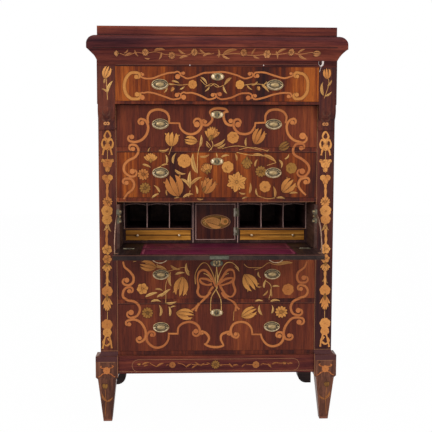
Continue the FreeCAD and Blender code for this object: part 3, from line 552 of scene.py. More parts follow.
def front_walls():
    """The fronts over one another, and the rails between them."""
    fronts = {n: node_wall("drawer_%d_front" % n, "drawer_%d" % n) for n in (2, 3, 5, 6)}
    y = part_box("drawer_2_front")[0].y
    fall = fall_wall()
    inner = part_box("pilaster_left")[1].x
    column = [fronts[2], fronts[3], fall, fronts[5], fronts[6]]
    feet = [front.z[1] + front_gap for front in column[1:]] + [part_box("base_rail")[1].z]
    rails = [flat_wall("rail_%d" % number, "carcass", y, (inner, -inner),
                       (foot, front.z[0] - front_gap))
             for number, front, foot in zip(range(2, 7), column, feet)]
    return list(fronts.values()) + [fall] + rails, y


# Drawing with cut pieces of veneer

def clip(corners, axis, limit, keep):
    """The part of a convex piece on one side of a limit. keep is 1 for above, -1 for below."""
    kept = []
    for index, corner in enumerate(corners):
        before = corners[index - 1]
        inside = (corner[axis] - limit) * keep >= 0
        if inside != ((before[axis] - limit) * keep >= 0):
            share = (limit - before[axis]) / (corner[axis] - before[axis])
            kept.append(tuple(b + (c - b) * share for b, c in zip(before, corner)))
        if inside:
            kept.append(corner)
    return kept


def clipped(corners, target):
    for axis, span in ((0, target.x), (1, target.z)):
        values = [corner[axis] for corner in corners]
        if max(values) <= span[0] or min(values) >= span[1]:
            return []
        if min(values) < span[0]:
            corners = clip(corners, axis, span[0], 1)
        if max(values) > span[1]:
            corners = clip(corners, axis, span[1], -1)
    return corners


def strips(corners, height):
    """The piece cut at every step of height."""
    if height is None or len(corners) < 3:
        return [corners]
    levels = [corner[1] for corner in corners]
    first, last = math.floor(min(levels) / height), math.ceil(max(levels) / height)
    return [clip(clip(corners, 1, step * height, 1), 1, (step + 1) * height, -1)
            for step in range(first, last)]


def area(corners):
    return sum(a[0] * b[1] - b[0] * a[1] for a, b in zip(corners, corners[1:] + corners[:1])) / 2


def add(first, second, share=1.0):
    return (first[0] + second[0] * share, first[1] + second[1] * share)


def minus(first, second):
    return (first[0] - second[0], first[1] - second[1])


def unit(step):
    length = math.hypot(*step) or 1.0
    return (step[0] / length, step[1] / length)


def across(path):
    """At each point of a path, the direction to its left."""
    last = len(path) - 1
    runs = [unit(minus(path[min(index + 1, last)], path[max(index - 1, 0)]))
            for index in range(last + 1)]
    return [(-run[1], run[0]) for run in runs]


def turned(index, count):
    """One of count places round a circle of radius one."""
    turn = 2 * math.pi * index / count
    return (math.cos(turn), math.sin(turn))


def local(centre, angle, length, width):
    """Turns a place in a motif, along and across its own axis, into a place on the wall."""
    c, s = math.cos(angle), math.sin(angle)

    def place(a, b):
        a, b = a * length, b * width
        return (centre[0] + a * c - b * s, centre[1] + a * s + b * c)

    return place


def rectangle(x_span, z_span):
    (x_low, x_high), (z_low, z_high) = x_span, z_span
    return [(x_low, z_low), (x_high, z_low), (x_high, z_high), (x_low, z_high)]


def smooth(points):
    """A curve through the points."""
    if len(points) < 3:
        return list(points)
    path = []
    ends = [points[0]] + list(points) + [points[-1]]
    for a, b, c, d in zip(ends, ends[1:], ends[2:], ends[3:]):
        for index in range(curve_steps):
            t = index / curve_steps
            path.append(tuple(0.5 * (2 * q + (r - p) * t + (2 * p - 5 * q + 4 * r - s) * t ** 2
                                     + (3 * q - p - 3 * r + s) * t ** 3)
                              for p, q, r, s in zip(a, b, c, d)))
    path.append(points[-1])
    return path


def divided(start, end, steps=12):
    """A straight run cut into short lengths, so that it follows what it lies on."""
    return [add(start, minus(end, start), index / steps) for index in range(steps + 1)]


def arch(start, end, bend, steps):
    """A bowed line whose middle stands off its chord by bend times the chord."""
    run = minus(end, start)
    side = (-run[1] * bend, run[0] * bend)
    path = []
    for index in range(steps + 1):
        t = index / steps
        path.append(add(add(start, run, t), side, 4 * t * (1 - t)))
    return path


# How finely the shapes are divided, and shares that all of a kind have in common
curve_steps = 6
leaf_steps = 7
petal_steps = 6
volute_steps = 14
disc_sides = 14
carnation_petals = 7
volute_turn = math.radians(235)
volute_share = 0.36
ball_share = 0.64
leaf_share = 0.21


class Inlay:
    """Lays cut pieces on a set of walls that lie in one plane, or one after another. flip
    turns them over to the other side, and shades gives other finishes for some kinds."""

    def __init__(self, walls, flip=1, **shades):
        self.walls, self.flip, self.shades = walls, flip, shades
        self.level, self.count, self.tone = 0, 0, 0.5

    def motif(self, tone=None):
        """A new motif lies over the last one. Its tone, from 0 to 1, is given or drawn."""
        self.level += 1
        self.tone = random.random() if tone is None else tone

    def piece(self, corners, kind, step=0):
        """A convex piece. Each corner is x, z and how much it is scorched."""
        corners = [(c[0] * self.flip, c[1], c[2] if len(c) == 3 else 0.0) for c in corners]
        if area(corners) < 0:
            corners = corners[::-1]
        self.count += 1
        lift = veneer_lift + self.level * motif_step + step * petal_step
        lift += self.count % piece_turns * piece_step
        for target in self.walls:
            for cut in strips(clipped(corners, target), target.strip):
                if len(cut) < 3 or area(cut) < least_area:
                    continue
                start = len(target.corners)
                places = [target.place(x, z, lift) for x, z, burn in cut]
                if None in places:
                    continue
                target.corners += places
                target.burns += [burn for x, z, burn in cut]
                target.tones += [self.tone] * len(cut)
                target.faces.append(list(range(start, start + len(cut))))
                target.kinds.append(self.shades.get(kind, kind))

    def band(self, path, widths, kind, step=0, burn=0.0):
        """A strip along a path, scorched at its edges."""
        rows = [(add(point, side, width / 2) + (burn,), point + (0.0,),
                 add(point, side, -width / 2) + (burn,))
                for point, side, width in zip(path, across(path), widths)]
        for one, two in zip(rows, rows[1:]):
            self.piece([one[0], two[0], two[1], one[1]], kind, step)
            self.piece([one[1], two[1], two[2], one[2]], kind, step)

    def rimmed_band(self, path, widths, kind, burn):
        self.band(path, [width + 2 * outline_width for width in widths], "line")
        self.band(path, widths, kind, 1, burn)

    def line(self, path, width, kind, step):
        for one, two in zip(path, path[1:]):
            run = unit(minus(two, one))
            side = (-run[1] * width / 2, run[0] * width / 2)
            self.piece([add(one, side), add(two, side), add(two, side, -1), add(one, side, -1)],
                       kind, step)

    def disc(self, centre, reach, kind, step, squash=1.0, angle=0.0, sides=disc_sides,
             burn=0.0):
        at = local(centre, angle, reach, reach * squash)
        self.piece([at(*turned(side, sides)) + (burn,) for side in range(sides)], kind, step)

    def volute(self, end, before, centre):
        """The curl that carries a band on round a centre, and how big its ball is."""
        arm = minus(end, centre)
        heading = minus(end, before)
        turn = math.copysign(1.0, arm[0] * heading[1] - arm[1] * heading[0])
        reach, start = math.hypot(*arm), math.atan2(arm[1], arm[0])
        path = []
        for index in range(1, volute_steps + 1):
            share = index / volute_steps
            angle = start + turn * volute_turn * share
            r = reach * (1 - (1 - volute_share) * share)
            path.append((centre[0] + r * math.cos(angle), centre[1] + r * math.sin(angle)))
        return path, reach * ball_share

    def scroll(self, first, points, last, width=scroll_width, kind="scroll"):
        """A band that curls up at one end, both or neither. It swells to its middle."""
        self.motif()
        path = smooth(points)
        balls = []
        if last:
            curl, size = self.volute(path[-1], path[-2], last)
            path = path + curl
            balls.append((curl[-1], size))
        if first:
            curl, size = self.volute(path[0], path[1], first)
            path = curl[::-1] + path
            balls.append((curl[-1], size))
        count = len(path) - 1
        widths = [width * (0.72 + 0.33 * math.sin(math.pi * i / count)) for i in range(count + 1)]
        self.rimmed_band(path, widths, kind, 0.3)
        for centre, size in balls:
            self.disc(centre, size + outline_width, "line", 2)
            self.disc(centre, size, kind, 3)

    def ribbon(self, points, width, kind):
        self.motif()
        path = smooth(points)
        count = len(path) - 1
        widths = [width * (0.7 + 0.5 * abs(math.sin(2.5 * math.pi * i / count)))
                  for i in range(count + 1)]
        self.rimmed_band(path, widths, kind, 0.25)

    def stem(self, points):
        self.motif()
        self.line(smooth(points), stem_width, "leaf", 1)

    def string(self, points, width=string_width, kind="string"):
        self.motif(0.4)
        self.line(points, width, kind, 1)

    def rule(self, x_span, z, width=string_width, kind="string"):
        self.string([(x, z) for x in x_span], width, kind)

    def border(self, x_span, z_span, inset, width, kind):
        """A line all round, set in from the edges."""
        corners = rectangle((x_span[0] + inset, x_span[1] - inset),
                            (z_span[0] + inset, z_span[1] - inset))
        self.string(corners + corners[:1], width, kind)

    def leaf(self, base, tip, bend, kind="leaf"):
        """A leaf of two halves, one scorched darker, with a dark vein."""
        self.motif()
        axis = arch(base, tip, bend, leaf_steps)
        length = math.hypot(*minus(tip, base))
        last = len(axis) - 1
        rows = []
        for index, (point, side) in enumerate(zip(axis, across(axis))):
            t = index / last
            swell = math.sin(math.pi * t ** 0.8) ** 0.8 if 0 < t < 1 else 0.0
            rows.append((point, side, length * leaf_share / 2 * swell, 0.3 * (1 - t)))
        for way, dark in ((1, 0.0), (-1, 0.22)):
            for one, two in zip(rows, rows[1:]):
                self.piece([one[0] + (one[3] + dark,), two[0] + (two[3] + dark,),
                            add(two[0], two[1], way * two[2]) + (dark,),
                            add(one[0], one[1], way * one[2]) + (dark,)], kind, 1)
        self.line(axis[:-1], vein_width, "line", 2)

    def petal(self, base, tip, width, bend, kind, step=1, fullness=0.55, burn=0.5):
        """One petal, scorched at its base, over a dark rim."""
        axis = arch(base, tip, bend, petal_steps)
        last = len(axis) - 1
        for grow, shade, layer in ((petal_rim, "line", step), (0.0, kind, step + 1)):
            rows = []
            for index, (point, side) in enumerate(zip(axis, across(axis))):
                t = index / last
                swell = math.sin(math.pi * min(1, t * 0.93 + 0.06) ** (1 / (2 * (1 - fullness))))
                half = width / 2 * max(swell, 0.0) ** 0.7 + grow
                if index == last:
                    half = grow
                    point = add(point, (side[1], -side[0]), grow)
                dark = (burn * (1 - t) ** 2.2,)
                rows.append((add(point, side, half) + dark, add(point, side, -half) + dark))
            for one, two in zip(rows, rows[1:]):
                self.piece([one[0], two[0], two[1], one[1]], shade, layer)

    def whorl(self, centre, reach, count, start, width, bend, kind, layers, fullness):
        """Petals all round a centre, on two layers in turn."""
        for index in range(count):
            tip = add(centre, turned(index + start, count), reach)
            self.petal(centre, tip, reach * width, bend, kind, layers[index % 2], fullness)


# Motifs. Bare numbers in them are shares of the motif's own length, width or reach.

def tulip(ink, centre, length, width, angle, kind):
    """A narrow cup of pointed petals, with two thin ones that curl away."""
    ink.motif()
    at = local(centre, angle, length, width)
    squash = 0.62 * width / length
    for side in (1, -1):
        ink.petal(at(-0.34, 0.12 * side), at(0.36, 0.52 * side), width * 0.2, -0.12 * side, kind)
    ink.disc(at(-0.16, 0), length * 0.33 + petal_rim, "line", 3, squash, angle)
    ink.disc(at(-0.16, 0), length * 0.33, kind, 4, squash, angle, burn=0.25)
    for side in (1, -1):
        ink.petal(at(-0.46, 0.05 * side), at(0.44, 0.24 * side), width * 0.3, 0.16 * side,
                  kind, 5)
    ink.petal(at(-0.48, 0), at(0.5, 0.02), width * 0.28, 0.02, kind, 7)


def carnation(ink, centre, length, width, angle, kind):
    """A fan of ragged petals over a calyx."""
    ink.motif()
    at = local(centre, angle, length, width)
    half = (carnation_petals - 1) / 2
    ink.disc(at(-0.05, 0), length * 0.3, kind, 1, 0.9 * width / length, angle, burn=0.3)
    for index in sorted(range(carnation_petals), key=lambda i: -abs(i - half)):
        share = (index - half) / half
        tip = at(0.5 - 0.4 * share ** 2, 0.5 * share)
        ink.petal(at(-0.34, 0.1 * share), tip, width * 0.25, -0.1 * share, kind,
                  2 + index % 3, 0.58)
    ink.petal(at(-0.5, 0), at(-0.1, 0), width * 0.18, 0.0, "dull", 7)


def rose(ink, centre, reach, kind):
    ink.motif()
    ink.disc(centre, reach * 0.9, kind, 1, burn=0.35)
    start = random.random()
    step = 1.5
    for count, offset, size in ((7, 0.62, 0.44), (5, 0.34, 0.34), (3, 0.13, 0.22)):
        for index in range(count):
            turn = 2 * math.pi * (index / count + start * size)
            place = add(centre, (math.cos(turn), math.sin(turn)), reach * offset)
            for grow, burn in ((outline_width / 2, 0.6), (0.0, 0.05)):
                ink.disc(place, reach * size + grow, kind, step, 0.82, turn + math.pi / 2,
                         burn=burn)
                step += 0.3
    ink.disc(centre, reach * 0.12, kind, step, burn=0.6)


def daisy(ink, centre, reach, kind):
    ink.motif()
    ink.whorl(centre, reach, 11, random.random(), 0.42, 0.03, kind, (1, 2), 0.68)
    ink.disc(centre, reach * 0.3, "line", 4)
    ink.disc(centre, reach * 0.25, kind, 5, burn=0.6)


def pansy(ink, centre, reach, kind):
    ink.motif()
    ink.whorl(centre, reach, 6, random.random(), 0.85, 0.02, kind, (1, 3), 0.64)
    ink.disc(centre, reach * 0.2, "line", 6)
    ink.disc(centre, reach * 0.14, "flower", 7, burn=0.2)


def star(ink, centre, reach, kind):
    ink.motif(0.1)
    for layer, first, share, width in ((1, 110, 0.82, 0.4), (3, 80, 1.0, 0.52)):
        for index in range(6):
            turn = math.radians(first + 60 * index)
            tip = add(centre, (math.cos(turn), math.sin(turn)), reach * share)
            ink.petal(centre, tip, reach * width, 0.03, kind, layer, 0.56)
            ink.line([centre, add(centre, minus(tip, centre), 0.8)], vein_width, "line", layer + 2)
    ink.disc(centre, reach * 0.16, "line", 6)
    ink.disc(centre, reach * 0.12, kind, 7, burn=0.5)


def bud(ink, centre, reach, angle, kind):
    ink.motif()
    at = local(centre, angle, reach, reach)
    for a, b, share, bend, step in ((1, 0, 1.5, 0, 1), (0.8, 0.5, 0.9, -0.1, 3),
                                    (0.8, -0.5, 0.9, 0.1, 5)):
        ink.petal(at(-1, 0), at(a, b), reach * share, bend, kind, step)


motifs = {"tulip": tulip, "carnation": carnation, "rose": rose, "daisy": daisy, "pansy": pansy,
          "star": star, "bud": bud}


def place_flower(ink, kind, centre, size, length, *more):
    """A round flower has only a length, its reach. Else more ends with the way it opens."""
    measures = [value * size for value in (length,) + more[:-1]]
    turns = [math.radians(value) for value in more[-1:]]
    shade = "dull" if kind.startswith("dull") else "flower"
    motifs[kind.split()[-1]](ink, centre, *measures, *turns, shade)


# The designs, read off the enlarged photograph. A scroll is its first volute's centre,
# the points of its band, and its last one's centre. A flower is its kind, its middle and its
# reach. A bud also has the way it opens, in degrees. A tulip or carnation has its length, its
# width and the way it opens. A leaf runs from its foot to its tip and may bend.

frieze_scrolls = [
    (UPPER_LEFT, (355, 110), [(345, 125), (380, 140), (440, 138), (500, 115), (560, 98), (605, 95)],
     (628, 115)),
    (UPPER_LEFT, (665, 105), [(668, 125), (700, 140), (760, 125), (820, 100), (880, 95), (922, 93),
     (985, 92), (1075, 115), (1135, 140), (1184, 130)], (1180, 108)),
    (UPPER_RIGHT, (390, 118), [(385, 95), (450, 95), (530, 120), (600, 138), (650, 125)], (655, 108)),
    (UPPER_LEFT, (355, 275), [(370, 250), (400, 245), (450, 252), (520, 275), (590, 298), (640, 292)],
     (630, 268)),
    (UPPER_LEFT, (670, 272), [(690, 250), (740, 250), (800, 270), (860, 298), (905, 290)], (900, 268)),
    (UPPER_RIGHT, (105, 265), [(106, 290), (130, 298), (200, 285), (270, 255), (330, 252)], (335, 280)),
    (UPPER_RIGHT, (375, 275), [(370, 294), (390, 298), (450, 285), (520, 262), (590, 250), (640, 250)],
     (640, 272)),
]
frieze_end_scrolls = [
    (UPPER_LEFT, (320, 122), [(318, 96), (270, 100), (235, 140), (222, 195), (235, 255), (275, 292),
     (318, 295)], (325, 268)),
    (UPPER_RIGHT, (695, 118), [(700, 95), (750, 110), (776, 150), (780, 200), (770, 250), (735, 290),
     (695, 295)], (690, 270)),
]
upper_scrolls = [
    (UPPER_LEFT, (350, 472), [(350, 446), (385, 462), (403, 505), (393, 560), (355, 605), (305, 622),
     (275, 618)], (272, 590)),
    (UPPER_LEFT, None, [(405, 480), (400, 430), (425, 390), (480, 375), (535, 392), (560, 430),
     (562, 478)], None),
    (UPPER_LEFT, None, [(556, 478), (645, 480)], None),
    (UPPER_LEFT, None, [(640, 478), (650, 520), (690, 555), (740, 562), (785, 540), (808, 500),
     (800, 455)], (772, 476)),
    (UPPER_LEFT, (828, 470), [(818, 490), (850, 494), (880, 470), (890, 440), (868, 395)], None),
    (UPPER_LEFT, None, [(868, 395), (890, 375), (930, 366), (985, 372), (1008, 392)], None),
    (UPPER_RIGHT, None, [(178, 392), (145, 400), (142, 440), (160, 480), (190, 495)], (200, 470)),
    (UPPER_RIGHT, (250, 478), [(222, 460), (218, 505), (250, 550), (300, 562), (345, 550), (375, 510),
     (382, 478)], None),
    (UPPER_RIGHT, None, [(376, 478), (462, 475)], None),
    (UPPER_RIGHT, None, [(458, 478), (460, 420), (490, 385), (540, 375), (590, 390), (618, 430),
     (610, 480)], None),
    (UPPER_RIGHT, (670, 470), [(672, 445), (640, 460), (620, 500), (630, 560), (670, 605), (720, 622)],
     (745, 590)),
    (UPPER_LEFT, (280, 668), [(282, 641), (315, 652), (330, 690), (305, 735), (250, 765), (220, 805),
     (225, 850), (262, 880), (290, 884)], (292, 852)),
    (UPPER_LEFT, (232, 925), [(235, 899), (275, 903), (297, 940), (285, 980), (245, 1015),
     (218, 1055)], None),
    (UPPER_RIGHT, (735, 660), [(725, 635), (690, 640), (668, 680), (680, 720), (740, 755), (785, 800),
     (785, 850), (755, 882), (725, 884)], (727, 850)),
    (UPPER_RIGHT, (770, 920), [(768, 893), (725, 905), (708, 950), (730, 990), (765, 1025)], None),
]
lower_scrolls = [
    (LOWER_LEFT, None, [(238, 140), (250, 185), (295, 225), (325, 270), (322, 315), (290, 340),
     (262, 338)], (260, 305)),
    (LOWER_LEFT, (298, 385), [(300, 357), (260, 365), (238, 400), (240, 440), (280, 468), (330, 478),
     (368, 508), (380, 550), (355, 600), (310, 615)], (298, 581)),
    (LOWER_RIGHT, None, [(862, 140), (840, 190), (790, 230), (780, 280), (800, 315), (840, 318)],
     (845, 285)),
    (LOWER_RIGHT, (805, 365), [(810, 338), (850, 350), (870, 390), (850, 430), (800, 450), (745, 480),
     (725, 530), (745, 580), (790, 595)], (797, 562)),
    (LOWER_LEFT, (282, 665), [(285, 638), (330, 630), (380, 650), (415, 695), (430, 745), (420, 795),
     (385, 822)], (373, 797)),
    (LOWER_LEFT, (487, 757), [(490, 733), (460, 735), (437, 770), (445, 820), (490, 860), (540, 868),
     (590, 845), (620, 800), (625, 750)], None),
    (LOWER_LEFT, None, [(618, 750), (706, 750)], None),
    (LOWER_LEFT, None, [(700, 754), (705, 700), (740, 665), (800, 650), (850, 665), (882, 700),
     (885, 745), (870, 765)], (850, 740)),
    (LOWER_LEFT, (905, 745), [(905, 730), (945, 750), (965, 790), (945, 830), (925, 840)], None),
    (LOWER_LEFT, None, [(925, 836), (965, 856), (1017, 864), (1060, 860), (1092, 848)], None),
    (LOWER_RIGHT, None, [(158, 848), (135, 800), (140, 760), (175, 740), (204, 734)], (200, 750)),
    (LOWER_RIGHT, (265, 760), [(262, 785), (228, 765), (218, 715), (245, 668), (300, 650), (355, 662),
     (392, 705), (400, 760)], None),
    (LOWER_RIGHT, None, [(394, 756), (478, 756)], None),
    (LOWER_RIGHT, None, [(472, 752), (485, 795), (525, 842), (580, 856), (635, 835), (664, 790),
     (655, 745), (628, 737)], (624, 764)),
    (LOWER_RIGHT, (808, 650), [(825, 620), (780, 612), (730, 625), (685, 680), (665, 740), (680, 790),
     (715, 800)], (720, 772)),
]

up, down, left, right = 90, -90, 180, 0

frieze_flowers = {
    UPPER_LEFT: [("rose", 740, 185, 34), ("bud", 588, 222, 20, 60)],
    UPPER_RIGHT: [("rose", 265, 187, 34), ("bud", 407, 215, 18, 100)],
}
frieze_leaves = {
    UPPER_LEFT: [(580, 160, 640, 178, 0.1), (548, 205, 522, 250, 0.1), (640, 222, 680, 198, -0.12),
        (800, 130, 850, 186, 0.12), (868, 200, 832, 238, 0.12), (560, 186, 600, 184, 0.0)],
    UPPER_RIGHT: [(205, 135, 148, 188, -0.14), (140, 195, 168, 256, -0.12), (400, 160, 350, 190, 0.15),
        (318, 188, 360, 226, -0.12), (425, 182, 485, 244, 0.05), (470, 160, 440, 190, 0.1)],
}
frieze_stems = {
    UPPER_LEFT: [[(560, 178), (640, 190), (705, 184)], [(800, 150), (840, 190), (880, 196), (905, 180),
        (940, 200)]],
    UPPER_RIGHT: [[(0, 205), (50, 180), (88, 205), (140, 192), (190, 150)], [(300, 190), (360, 182),
        (440, 185)]],
}
upper_flowers = {
    UPPER_LEFT: [("tulip", 583, 600, 112, 112, 84), ("tulip", 728, 610, 104, 62, 172),
        ("carnation", 888, 556, 112, 118, 86), ("carnation", 422, 742, 76, 104, up),
        ("rose", 678, 765, 54), ("daisy", 366, 868, 46), ("dull daisy", 380, 972, 44),
        ("tulip", 604, 955, 176, 140, 112), ("carnation", 845, 825, 90, 92, 100),
        ("tulip", 862, 955, 132, 104, 62)],
    UPPER_RIGHT: [("carnation", 46, 560, 112, 100, 76), ("rose", 212, 588, 46),
        ("tulip", 405, 580, 132, 96, 66), ("dull tulip", 600, 655, 96, 58, 32),
        ("star", 240, 925, 80), ("rose", 172, 812, 46), ("carnation", 20, 822, 80, 80, 120),
        ("dull carnation", 318, 778, 100, 84, down), ("dull daisy", 424, 845, 44),
        ("dull rose", 655, 820, 42), ("rose", 455, 960, 44), ("tulip", 630, 955, 130, 104, 48),
        ("carnation", 10, 950, 110, 100, 60)],
}
upper_leaves = {
    UPPER_LEFT: [(795, 660, 806, 568, -0.06), (846, 620, 872, 668, -0.16), (480, 682, 562, 668, -0.2),
        (540, 790, 534, 716, -0.14), (596, 790, 616, 706, 0.16), (776, 860, 744, 706, 0.1),
        (790, 730, 868, 716, -0.14), (604, 828, 690, 862, -0.16), (492, 1008, 446, 950, -0.12),
        (548, 1030, 544, 978, 0.1), (722, 975, 722, 842, 0.05), (722, 968, 644, 900, -0.14),
        (724, 950, 812, 888, 0.1), (774, 1020, 762, 950, -0.1), (665, 1048, 748, 1018, 0.14),
        (430, 1050, 488, 1014, 0.1), (356, 792, 424, 816, 0.08), (500, 806, 556, 792, 0.12),
        (600, 1052, 644, 1046, 0.14), (770, 1050, 824, 1052, -0.14), (402, 700, 420, 664, 0.1)],
    UPPER_RIGHT: [(60, 650, 152, 598, -0.14), (90, 668, 156, 632, -0.12), (314, 656, 314, 588, 0.1),
        (470, 700, 488, 676, 0.1), (360, 722, 448, 732, 0.12), (440, 722, 540, 778, 0.1),
        (556, 756, 576, 822, 0.25), (382, 812, 400, 752, 0.14), (600, 752, 636, 712, -0.2),
        (334, 1014, 342, 930, -0.1), (310, 1012, 258, 1002, 0.14), (528, 1046, 518, 956, -0.1),
        (240, 768, 226, 706, -0.1), (400, 1030, 388, 972, 0.1), (540, 1048, 606, 1052, 0.12),
        (640, 1014, 706, 1010, 0.1), (280, 1056, 320, 1040, 0.1), (120, 740, 186, 724, 0.12),
        (96, 740, 90, 700, 0.1)],
}
upper_stems = {
    UPPER_LEFT: [[(583, 655), (570, 690), (560, 720)], [(846, 616), (880, 660), (880, 684)], [(722, 990),
        (710, 1040)], [(500, 806), (470, 820)], [(795, 650), (780, 720), (776, 860)]],
    UPPER_RIGHT: [[(50, 612), (60, 650), (30, 690)], [(128, 672), (250, 652), (420, 684)], [(260, 680),
        (360, 662), (470, 690)], [(240, 700), (330, 720), (440, 726)], [(540, 778), (470, 800)],
        [(400, 1030), (470, 1052), (530, 1046)]],
}
lower_flowers = {
    LOWER_LEFT: [("tulip", 450, 176, 150, 84, 168), ("pansy", 402, 370, 50),
        ("tulip", 728, 352, 176, 120, -100), ("dull daisy", 444, 574, 50),
        ("tulip", 762, 584, 158, 88, -8)],
    LOWER_RIGHT: [("tulip", 378, 315, 168, 118, -56), ("rose", 702, 376, 50), ("daisy", 645, 566, 54),
        ("tulip", 372, 574, 150, 86, 28)],
}
lower_leaves = {
    LOWER_LEFT: [(500, 186, 610, 214, 0.12), (638, 168, 722, 206, -0.14), (800, 262, 774, 150, 0.12),
        (640, 240, 646, 350, -0.14), (676, 252, 760, 236, 0.1), (506, 376, 574, 386, 0.12),
        (424, 440, 530, 402, 0.06), (522, 444, 600, 408, 0.08), (470, 482, 560, 480, 0.16),
        (598, 490, 690, 478, -0.1), (548, 604, 542, 506, -0.16), (632, 604, 624, 518, -0.1),
        (636, 532, 684, 518, 0.12), (320, 144, 352, 140, 0.1), (556, 440, 640, 372, 0.06)],
    LOWER_RIGHT: [(452, 222, 474, 280, -0.2), (500, 366, 518, 290, 0.1), (486, 428, 532, 380, -0.14),
        (568, 438, 562, 362, 0.1), (566, 352, 632, 352, 0.1), (420, 478, 492, 476, 0.14),
        (550, 480, 636, 474, 0.14), (486, 594, 462, 504, 0.16), (560, 582, 566, 508, -0.16),
        (430, 344, 480, 352, -0.14), (600, 170, 736, 148, 0.06), (250, 180, 290, 226, 0.1)],
}
lower_stems = {
    LOWER_LEFT: [[(520, 160), (600, 220), (690, 200)], [(640, 230), (600, 330), (600, 430), (598, 490)],
        [(800, 230), (760, 190), (700, 200)]],
    LOWER_RIGHT: [[(420, 210), (480, 190), (540, 150), (600, 165), (740, 150)], [(510, 300), (560, 350),
        (540, 460)], [(245, 560), (240, 640)], [(330, 160), (370, 190), (480, 190)]],
}
lower_ribbons = {
    LOWER_LEFT: [[(1020, 352), (985, 270), (935, 215), (885, 225), (866, 285), (875, 350), (868, 400),
        (895, 436), (945, 430), (975, 385), (1000, 352)], [(990, 312), (950, 290), (890, 285), (900, 318),
        (950, 338), (990, 330)], [(980, 400), (900, 480), (860, 520), (820, 552)], [(880, 490),
        (866, 516), (852, 560)]],
    LOWER_RIGHT: [[(95, 350), (140, 285), (190, 215), (238, 215), (250, 270), (238, 320), (255, 390),
        (225, 436), (175, 420), (130, 352)], [(110, 335), (170, 290), (235, 280), (225, 310), (170, 332),
        (120, 345)], [(140, 400), (170, 440), (238, 480), (268, 520), (290, 545)], [(262, 500),
        (258, 560)]],
}
lower_cords = {
    LOWER_LEFT: [[(1026, 372), (990, 430), (980, 470), (978, 556)], [(1022, 350), (1000, 250), (950, 160),
        (900, 160), (850, 240), (850, 330)], [(1028, 372), (1020, 300), (1030, 180)], [(1010, 330),
        (960, 260), (920, 240)]],
    LOWER_RIGHT: [[(92, 372), (125, 440), (136, 480), (138, 550)], [(96, 350), (120, 250), (170, 160),
        (230, 150), (285, 200)], [(100, 372), (108, 300), (98, 180)], [(110, 330), (160, 260), (200, 240)]],
}

# The fall's show side is hidden in the photograph. Its design carries on that of the
# drawers over and under it. Places are metres from its middle and over its foot.
fall_scrolls = [
    ((0.334, 0.124), [(0.329, 0.104), (0.348, 0.102), (0.366, 0.122), (0.368, 0.156),
     (0.356, 0.196)], None),
    ((0.334, 0.062), [(0.329, 0.082), (0.348, 0.084), (0.368, 0.064), (0.369, 0.03), (0.36, -0.006)], None),
    ((0.268, 0.046), [(0.282, 0.036), (0.262, 0.018), (0.225, 0.018), (0.197, 0.042), (0.196, 0.072)],
     (0.211, 0.071)),
    ((0.06, 0.152), [(0.075, 0.158), (0.07, 0.176), (0.035, 0.182), (0.0, 0.182)], None),
]
fall_flowers = [("tulip", 0.293, 0.13, 0.056, 0.038, 62), ("rose", 0.246, 0.06, 0.015),
    ("carnation", 0.168, 0.142, 0.044, 0.042, 80), ("daisy", 0.31, 0.02, 0.013),
    ("tulip", 0.146, 0.062, 0.056, 0.036, 30), ("rose", 0.118, 0.122, 0.016),
    ("dull daisy", 0.096, 0.034, 0.013), ("tulip", 0.064, 0.094, 0.05, 0.036, 68)]
fall_leaves = [(0.27, 0.084, 0.3, 0.092, 0.14), (0.255, 0.094, 0.262, 0.124, -0.12),
    (0.222, 0.088, 0.2, 0.112, 0.12), (0.18, 0.096, 0.172, 0.116, 0.1), (0.11, 0.072, 0.112, 0.1, 0.12),
    (0.108, 0.052, 0.076, 0.058, 0.14), (0.07, 0.03, 0.044, 0.05, -0.14),
    (0.04, 0.022, 0.07, 0.012, 0.14), (0.19, 0.014, 0.16, 0.026, 0.12), (0.33, 0.172, 0.316, 0.15, 0.12),
    (0.026, 0.05, 0.02, 0.026, 0.12), (0.13, 0.164, 0.102, 0.172, 0.14)]
fall_stems = [[(0.004, 0.018), (0.06, 0.028), (0.12, 0.052), (0.19, 0.086), (0.27, 0.092),
    (0.284, 0.108)], [(0.0, 0.024), (0.03, 0.05), (0.056, 0.072)], [(0.16, 0.074), (0.176, 0.1),
    (0.168, 0.12)], [(0.096, 0.06), (0.116, 0.108)]]
fall_star = (0.0, 0.062)
fall_star_reach = 0.03

# The pilasters' garland is drawn on the left one and turned over for the right one.
garland_flowers = {
    GARLAND: [("bud", 80, 96, 15, up), ("bud", 80, 122, 20, down), ("bud", 62, 188, 13, 150),
        ("bud", 98, 188, 13, 30), ("bud", 80, 224, 16, down), ("rose", 80, 200, 22),
        ("rose", 69, 264, 14), ("rose", 91, 264, 14), ("bud", 80, 276, 20, down),
        ("daisy", 80, 375, 24), ("rose", 78, 416, 27), ("rose", 78, 456, 24), ("pansy", 78, 594, 24),
        ("pansy", 79, 638, 22), ("carnation", 78, 676, 46, 46, down), ("rose", 79, 785, 26),
        ("carnation", 79, 838, 84, 50, down), ("rose", 78, 938, 26), ("rose", 79, 974, 21),
        ("bud", 70, 18, 14, 120), ("bud", 90, 18, 14, 60)],
}
garland_leaves = {
    GARLAND: [(78, 470, 62, 508, 0.12), (80, 470, 98, 512, -0.12), (78, 398, 60, 410, 0.2),
        (82, 398, 100, 410, -0.2), (78, 720, 66, 752, 0.16), (82, 716, 94, 746, -0.16)],
}
garland_stems = {
    GARLAND: [[(80, 30), (80, 52)], [(80, 104), (80, 192)], [(80, 860), (80, 924)]],
}
garland_trumpets = [[(80, 286), (79, 320), (79, 356)], [(78, 500), (76, 540), (77, 574)], [(79, 694),
    (79, 730), (79, 762)]]
